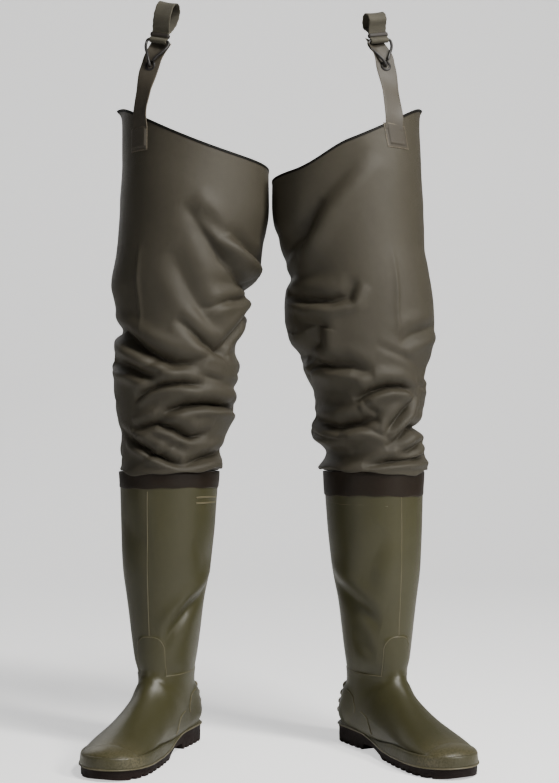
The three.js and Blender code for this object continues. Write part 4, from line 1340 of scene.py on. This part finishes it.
class WADERS_OT_legs(bpy.types.Operator):
    """Coated fabric legs with their folds, the bands that weld them to the boots, hems and seam tapes"""

    bl_idname = "waders.legs"
    bl_label = "Fabric legs"

    COLUMNS = 300

    def execute(self, context):
        sizes = context.scene.wader_sizes
        for name, wader in WADERS.items():
            self.make_fabric(name, wader, sizes)
            self.make_band(name, wader)
            self.make_hem(name, wader, sizes)
            self.make_tape(name, wader, sizes)
        return {"FINISHED"}

    def make_fabric(self, name, wader, sizes):
        """The wall as one closed grid: up the outside, over the rim and down the inside to the weld."""
        bearing = np.linspace(0, 2 * math.pi, self.COLUMNS, endpoint=False)[None]
        share = np.concatenate([np.linspace(0, 0.53, 126), np.linspace(0.53, 1, 52)[1:]])[:, None]
        low = 396 - 8 * np.clip(np.sin(bearing), 0, 1) ** 2 + 1.4 * np.sin(5 * bearing + wader["seed"])
        low = low + 1.1 * np.sin(9 * bearing)
        up = low + share * (rim_at(wader, bearing) - low)
        outer = fabric_surface(wader, bearing, up, 0.0, sizes.fold_strength)
        wall = sizes.fabric_wall * 1000
        fewer = np.concatenate([np.arange(0, len(share) - 1, 2), [len(share) - 1]])
        inner = outer[fewer] - wall * self.outward(outer)[fewer]
        foot = outer[0]
        inwards = -self.outward(outer)[3] * [1, 1, 0]
        roll = np.linspace(0, math.pi, 9)[1:, None, None]
        hang = foot + 2.0 * (1 - np.cos(roll)) * inwards - 2.0 * np.sin(roll) * np.array([0, 0, 1.0])
        weld = self.at_lip(wader, bearing[0], 391.6 + 0 * low[0], 0 * low[0] - 1.0)
        inside = self.at_lip(wader, bearing[0], 393.0 + 0 * low[0], 0 * low[0] - 2.0)
        rise = np.linspace(0, 1, 5)[1:-1, None, None]
        under = hang[-1] * (1 - rise) + weld * rise
        rows = np.concatenate([outer[::-1], hang, under, weld[None], inside[None], inner[3:]])
        leg = Surface()
        steps = np.linalg.norm(np.diff(np.concatenate([rows, rows[:1]]), axis=0), axis=-1).mean(1)
        climb = np.concatenate([[0], np.cumsum(steps)]) / 1000
        leg.add(rows, (0.66 / self.COLUMNS, 1.0), closed_rows=True, uv_rows=climb[:-1])
        piece = leg.make(
            f"{name}_leg_fabric", None, finish_named("fabric"),
            [f"{name}_knee_sleeve", f"{name}_thigh_sleeve"],
            180, (f"{name}_boot", f"{name}_thigh"),
        )

    def outward(self, points):
        normal = normals_of(points)
        away = points - points.mean(axis=1, keepdims=True)
        return normal * np.sign((normal * away).sum(-1).mean())

    def at_lip(self, wader, bearing, up, offset):
        """A ring near the weld: the plain section grown by an offset."""
        axis_out, forward, half_width, half_depth = leg_at(up)
        side = (half_width + offset) * np.cos(bearing)
        return leg_point(wader, forward + (half_depth + offset) * np.sin(bearing), side, up, axis_out)

    def make_band(self, name, wader):
        bearing = np.linspace(0, 2 * math.pi, 240, endpoint=False)
        foot = wader["band_low"] + 0.8 * np.sin(3 * bearing + 1) + 0.5 * np.sin(11 * bearing)
        profile = np.array([
            [0.15, 0.0], [0.5, -0.25], [0.95, 0.0], [1.15, 0.03], [1.15, 0.25], [1.2, 0.5], [1.2, 0.8], [1.1, 0.97],
            [0.8, 1.0], [0.3, 1.0], [0.15, 0.97], [0.15, 0.5],
        ])
        rings = []
        for offset, share in profile:
            height = foot - 0.4 if share < 0 else foot + share * (SHAFT_TOP + 1.3 - foot)
            ripple = 0.35 * np.sin(7 * bearing + share * 4) * (offset > 0.9)
            rings.append(self.at_lip(wader, bearing, height, offset + ripple))
        band = Surface()
        mark = np.tile((profile[:, 1:] < 0.02).astype(float), (1, 240))
        band.add(np.stack(rings), (0.0019, 0.004), closed_rows=True, marks=mark)
        band.make(
            f"{name}_weld_band", f"{name}_boot", finish_named("band"),
            [f"{name}_boot_top_band"], 60,
        )

    def make_hem(self, name, wader, sizes):
        """A binding folded over the rim: a narrow hook-shaped section carried round it."""
        bearing = np.linspace(0, 2 * math.pi, self.COLUMNS, endpoint=False)
        rim = rim_at(wader, bearing)
        wall = sizes.fabric_wall * 1000
        section = [
            (0.1, -3.3), (0.45, -3.4), (0.6, -2.9), (0.6, -0.6), (0.4, 0.2), (0.0, 0.6), (-wall, 0.6),
            (-wall - 0.4, 0.2), (-wall - 0.6, -0.6), (-wall - 0.6, -4.4), (-wall - 0.1, -5.0),
            (-wall - 0.1, -0.1), (0.1, -0.1),
        ]
        rings = np.stack([fabric_surface(wader, bearing, rim + rise, offset) for offset, rise in section])
        hem = Surface()
        hem.add(rings, (0.0022, 0.002), closed_rows=True)
        # The binding's near-black finish is partly painted shade of the rolled rim edge.
        hem.make(
            f"{name}_rim_binding", f"{name}_thigh", finish_named("hem"),
            [f"{name}_rim_hem"], 60,
        )

    def make_tape(self, name, wader, sizes):
        """A tape welded over the seam behind the leg, from the weld to the rim, lying on every fold."""
        middle, half = math.radians(244), 11.0 / 100
        bearing = middle + half * np.linspace(-1, 1, 13)
        share = np.linspace(0.03, 1, 230)[:, None]
        low = 398.0
        high = rim_at(wader, bearing)[None] - 5.6
        up = low + share * (high - low)
        edge = np.clip(1 - np.abs(np.linspace(-1, 1, 13)) ** 8, 0, 1)[None]
        outer = fabric_surface(wader, bearing[None], up, 0.12 + 0.45 * edge, sizes.fold_strength)
        inner = fabric_surface(wader, bearing[None], up, -0.35, sizes.fold_strength)
        rings = np.concatenate([outer, inner[:, ::-1]], axis=1)
        tape = Surface()
        tape.add(rings, (0.0018, 0.0022), caps=True)
        tape.make(
            f"{name}_seam_tape", None, finish_named("tape"), [f"{name}_leg_seam_tape"], 60,
            (f"{name}_boot", f"{name}_thigh"),
        )


# --------------------------------------------------------------------------------------------------
# Straps and hardware


def joint_place(name):
    return np.array(JOINTS[name]["pos_m"]) * 1000 - SHIFT


def hook_frame(name):
    """The eyelet's and the bar's places with three directions: across the bar, up the hook, towards the front."""
    eyelet, bar = joint_place(f"{name}_hook_swing"), joint_place(f"{name}_loop_swing")
    across = unit(np.array(JOINTS[f"{name}_hook_swing"]["axis"], float))
    up = unit(bar - eyelet)
    front = np.cross(across, up)
    return eyelet, bar, across, up, front


def strap_bearing(wader):
    """The bearing at which the strap crosses the rim, found from its cosine, and the strap's lower end."""
    axis_out, _, half_width, _ = leg_row(RIM_LEVEL)
    cosine = (wader["strap_out"] - axis_out) / half_width
    bearing = math.acos(cosine)
    return bearing, float(rim_at(wader, bearing)) - wader["patch_below"]


class WADERS_OT_straps(bpy.types.Operator):
    """Belt straps with their welded patches and eyelets"""

    bl_idname = "waders.straps"
    bl_label = "Straps"

    TONGUE = 39.0

    def execute(self, context):
        sizes = context.scene.wader_sizes
        for name, wader in WADERS.items():
            self.make_patch(name, wader, sizes)
            self.make_strap(name, wader, sizes)
            self.make_eyelet(name)
        return {"FINISHED"}

    def make_patch(self, name, wader, sizes):
        """A square welded over the strap's end; its border is pressed thin and shows pale."""
        bearing, foot = strap_bearing(wader)
        half = wader["patch_half"] / 102
        bearing = bearing + wader["patch_shift"]
        across = np.linspace(-1, 1, 45)
        along = np.linspace(-1, 1, 41)[:, None]
        square = np.maximum(np.abs(across)[None], np.abs(along))
        middle_up = foot - 17.0 + wader["patch_up"]
        up = middle_up + 16.0 * along * (1 + 0.03 * across[None])
        under = 1 - smoothstep(np.abs(across)[None] * wader["patch_half"], 12.5, 15.5)
        under = under * smoothstep(along, -0.8, -0.6)
        weld = 0.5 * np.exp(-(((square - 0.975) / 0.02) ** 2))
        rise = 0.55 + 0.6 * (1 - smoothstep(square, 0.9, 0.97)) + weld + 1.6 * under
        place = bearing + half * across[None] + wader["patch_shear"] * along
        outer = fabric_surface(wader, place, up, rise, sizes.fold_strength)
        inner = fabric_surface(wader, place, up, -0.2, sizes.fold_strength)
        rings = np.concatenate([outer, inner[:, ::-1]], axis=1)
        mark = smoothstep(square, 0.93, 0.965)
        marks = np.concatenate([mark, np.zeros_like(mark)], axis=1)
        patch = Surface()
        patch.add(rings, (0.0009, 0.0008), caps=True, marks=marks)
        patch.make(
            f"{name}_weld_patch", f"{name}_thigh", finish_named("strap"),
            [f"{name}_strap_patch"], 60,
        )

    def make_strap(self, name, wader, sizes):
        """A flat strip with rounded edges on a smooth route from the patch over the rim to the eyelet."""
        eyelet, _, across, up, front = hook_frame(name)
        foot_across = unit(np.array(JOINTS[f"{name}_strap_fold"]["axis"], float))
        bearing, foot_up = strap_bearing(wader)
        rim = float(rim_at(wader, bearing))
        lie = 1.0
        foot = fabric_surface(wader, bearing, foot_up, lie)
        over = fabric_surface(wader, bearing, rim - 1.0, lie) + [0, 0, 7.0]
        tip = eyelet + self.TONGUE * up + wader["lean_in"] * across - 7.5 * front
        route = [foot, over, eyelet - 14 * up, eyelet, eyelet + 14 * up - 1.0 * front, tip]
        path = curve_through(route, 90)
        climb = (path - foot) @ up
        share = smoothstep(climb / ((eyelet - foot) @ up), 0.55, 0.95)[:, None]
        wide = unit(foot_across * (1 - share) + across * share)
        ahead_of = unit(np.gradient(path, axis=0))
        outward = unit(np.cross(wide, ahead_of))
        section = rounded_bar(sizes.strap_width * 1000, sizes.webbing * 1000)
        u, v = section[:, 0][None], section[:, 1][None]
        half = sizes.strap_width * 500
        beyond = smoothstep((path - eyelet) @ up, -6, self.TONGUE)[:, None]
        near_rim = np.exp(-(((path[:, 2:3] - rim - 4) / 16) ** 2))
        edge = u / half
        curl = wader["curl"] * beyond * np.clip(-edge, 0, 1) ** 2 + 0.35 * wader["curl"] * beyond * edge**2
        curl = curl + 1.6 * near_rim * np.clip(edge, 0, 1) ** 3 + 0.5 * np.sin(climb / 13)[:, None] * edge
        lift = v + curl
        rings = path[:, None] + u[..., None] * wide[:, None] + lift[..., None] * outward[:, None]
        mark = smoothstep(np.abs(np.broadcast_to(u, lift.shape)) / half, 0.955, 0.99)
        strap = Surface()
        strap.add(rings, (0.0012, 0.0014), caps=True, marks=mark)
        strap.make(
            f"{name}_belt_strap", f"{name}_strap", finish_named("strap"),
            [f"{name}_strap"], 60,
        )

    def make_eyelet(self, name):
        """A rolled metal ring: a rounded section turned about the eyelet's own axis."""
        eyelet, _, across, up, front = hook_frame(name)
        section = np.array([
            [4.4, -1.2], [5.2, -1.9], [6.6, -1.7], [7.5, -1.15], [6.4, -0.95], [5.0, -0.85], [5.0, 0.85],
            [6.4, 0.95], [7.5, 1.15], [6.6, 1.75], [5.2, 2.0], [4.4, 1.3], [4.15, 0.0],
        ])
        turn = np.linspace(0, 2 * math.pi, 56, endpoint=False)
        radial = np.cos(turn)[:, None] * across + np.sin(turn)[:, None] * up
        rings = eyelet + section[None, :, 0:1] * radial[:, None] + section[None, :, 1:2] * front
        ring = Surface()
        ring.add(rings, (0.0008, 0.001), closed_rows=True)
        ring.make(
            f"{name}_eyelet_ring", f"{name}_strap", finish_named("metal"),
            [f"{name}_strap_eyelet"], 50,
        )


class WADERS_OT_hardware(bpy.types.Operator):
    """Wire hooks, keeper bands and the woven belt loops with their stitching"""

    bl_idname = "waders.hardware"
    bl_label = "Hooks and belt loops"

    def execute(self, context):
        sizes = context.scene.wader_sizes
        for name, wader in WADERS.items():
            self.make_hook(name, sizes)
            self.make_loop(name, wader, sizes)
            self.make_keeper(name, sizes)
        return {"FINISHED"}

    def make_hook(self, name, sizes):
        """A round wire on one smooth route: up through the eyelet, round the triangle, back to its point."""
        eyelet, _, across, up, front = hook_frame(name)
        bar_up, bar_half, shoulder = 38.0, 14.2, 16.4
        leg = np.array([
            [7, 13, 4.6], [14, 24, 2.6], [shoulder, 31, 0.6], [shoulder, 36, 0], [bar_half, bar_up, 0],
            [bar_half / 2, bar_up, 0],
        ])
        tail = [[0.8, -8, -5.4], [0.4, -3.6, -5], [0, 0, -2.6], [0, 0, 2.6], [-2, 4, 4.8]]
        route = np.concatenate([tail, leg * [-1, 1, 1], leg[::-1], [[3.2, 5.6, 4.8]]])
        places = eyelet + route[:, 0:1] * across + route[:, 1:2] * up + route[:, 2:3] * front
        path = curve_through(places, 220)
        radius = np.full(len(path), sizes.wire * 500)
        ends = np.linspace(0, 1, 8)
        radius[:8] *= np.sqrt(1 - (1 - ends) ** 2 * 0.93)
        radius[-8:] *= np.sqrt(1 - ends**2 * 0.93)
        rings = tube_rings(path, radius, 16, facing=front)
        wire = Surface()
        wire.add(rings, (0.0006, 0.001), caps=True, marks=np.full(rings.shape[:2], 0.3))
        wire.make(
            f"{name}_wire_hook", f"{name}_hook", finish_named("metal"),
            [f"{name}_triangle_hook"], 60,
        )

    def loop_route(self, wader, sizes):
        """The webbing's middle line from its edge, as (front, up) from the bar: eye, neck and open loop."""
        thick = sizes.webbing * 1000
        eye = 2.3 + thick / 2
        neck, top = 12.0, wader["loop_high"] - thick / 2
        half = thick / 2 + 0.08
        turn = np.radians(np.linspace(110, 430, 17))
        ring = np.stack([eye * np.cos(turn), eye * np.sin(turn)], axis=1)
        widest = neck + 0.48 * (top - neck)
        front_up = [(half, 6.5), (half, neck), (6.0, neck + 7), (12.2, widest), (10.5, top - 6)]
        crown = [(0.0, top)]
        back_down = [(-x, y) for x, y in front_up[::-1]]
        route = np.concatenate([ring, front_up, crown, back_down])
        return curve_through(route, 260, closed=True)

    def make_loop(self, name, wader, sizes):
        """A flat woven strip carried round a closed route; its two layers meet at the neck."""
        _, bar, across, up, front = hook_frame(name)
        route = self.loop_route(wader, sizes)
        path = bar + route[:, 0:1] * front + route[:, 1:2] * up
        ahead = unit(np.roll(path, -1, axis=0) - np.roll(path, 1, axis=0))
        normal = np.cross(across, ahead)
        section = rounded_bar(sizes.loop_width * 1000, sizes.webbing * 1000)
        high = smoothstep(route[:, 1], 16, wader["loop_high"])[:, None]
        bow = 0.9 * high * (section[None, :, 0] / 13) ** 2
        edge_wave = 0.25 * np.sin(np.arange(len(path)) * 0.55)[:, None] * (np.abs(section[None, :, 0]) > 12)
        rings = path[:, None] + (section[None, :, 0] + edge_wave)[..., None] * across
        rings = rings + (section[None, :, 1] + bow)[..., None] * normal[:, None]
        mark = np.broadcast_to(smoothstep(np.abs(section[None, :, 0]), 12.3, 12.9), rings.shape[:2])
        loop = Surface()
        run = np.linalg.norm(np.diff(path, axis=0), axis=1).mean() / 1000
        loop.add(rings, (0.0018, run), closed_rows=True, marks=mark)
        loop.make(
            f"{name}_webbing_loop", f"{name}_loop", finish_named("webbing"),
            [f"{name}_belt_loop"], 60,
        )
        self.make_stitches(name, bar, across, up, front, sizes)

    def make_stitches(self, name, bar, across, up, front, sizes):
        """Short threads in two rows over the neck, each a little arch that dips into the webbing."""
        thick = sizes.webbing * 1000
        stitches = Surface()
        reach = np.linspace(-1, 1, 9)
        for level in (4.4, 11.6):
            for middle in np.linspace(-10.4, 10.4, 9):
                for face in (-1, 1):
                    place = bar + (middle + 0.95 * reach)[:, None] * across + level * up
                    height = face * (thick + 0.12 + 0.22 * (1 - reach**2))
                    path = place + height[:, None] * front
                    rings = tube_rings(path, 0.3 * np.sqrt(1.02 - reach**2 * 0.6), 6, facing=front)
                    stitches.add(rings, (0.0004, 0.0003), caps=True)
        stitches.make(f"{name}_loop_stitching", f"{name}_loop", finish_named("thread"))

    def make_keeper(self, name, sizes):
        """A band round the neck: a rounded oblong ring, swept by a small rounded section."""
        _, bar, across, up, front = hook_frame(name)
        half_wide = sizes.loop_width * 500 + 0.35
        half_thick = sizes.webbing * 1000 + 0.5
        turn = np.linspace(0, 2 * math.pi, 96, endpoint=False)
        wide = half_wide * np.sign(np.cos(turn)) * np.abs(np.cos(turn)) ** 0.22
        thick = half_thick * np.sign(np.sin(turn)) * np.abs(np.sin(turn)) ** 0.5
        sideways = np.sign(wide) * (np.abs(wide) / half_wide) ** 12
        outward = unit(np.stack([sideways, thick / half_thick], 1))
        section = np.array([[0.0, -2.2], [0.9, -2.3], [1.3, -1.7], [1.4, 0], [1.3, 1.7], [0.9, 2.3], [0.0, 2.2]])
        flat = np.stack([wide, thick], axis=1)[:, None] + section[None, :, 0:1] * outward[:, None]
        rings = bar + flat[..., 0:1] * across + flat[..., 1:2] * front + (section[None, :, 1:2] + 7.75) * up
        keeper = Surface()
        keeper.add(rings, (0.0006, 0.0006), closed_rows=True)
        # Its near-black finish is painted shade of the fold over the webbing roll.
        keeper.make(
            f"{name}_keeper_band", f"{name}_loop", finish_named("keeper"),
            [f"{name}_loop_keeper"], 50,
        )


# --------------------------------------------------------------------------------------------------
# Add-on

OPERATORS = (
    WADERS_OT_stage, WADERS_OT_boots, WADERS_OT_soles, WADERS_OT_legs, WADERS_OT_straps, WADERS_OT_hardware,
)


class WADERS_PT_panel(bpy.types.Panel):
    """Lists the sizes, the colours and the pieces"""

    bl_idname = "WADERS_PT_panel"
    bl_label = "Thigh waders"
    bl_space_type = "VIEW_3D"
    bl_region_type = "UI"
    bl_category = "Waders"

    def draw(self, context):
        layout = self.layout
        for group in (context.scene.wader_sizes, context.scene.wader_colours):
            for key in group.__annotations__:
                layout.prop(group, key)
        for operator in OPERATORS:
            layout.operator(operator.bl_idname)


CLASSES = (WaderSizes, WaderColours, *OPERATORS, WADERS_PT_panel)


def register():
    for cls in CLASSES:
        bpy.utils.register_class(cls)
    bpy.types.Scene.wader_sizes = bpy.props.PointerProperty(type=WaderSizes)
    bpy.types.Scene.wader_colours = bpy.props.PointerProperty(type=WaderColours)


def unregister():
    del bpy.types.Scene.wader_colours
    del bpy.types.Scene.wader_sizes
    for cls in reversed(CLASSES):
        bpy.utils.unregister_class(cls)


def main():
    register()
    prepare_waders()
    bpy.ops.waders.stage()
    bpy.ops.waders.boots()
    bpy.ops.waders.soles()
    bpy.ops.waders.legs()
    bpy.ops.waders.straps()
    bpy.ops.waders.hardware()


if __name__ == "__main__":
    main()
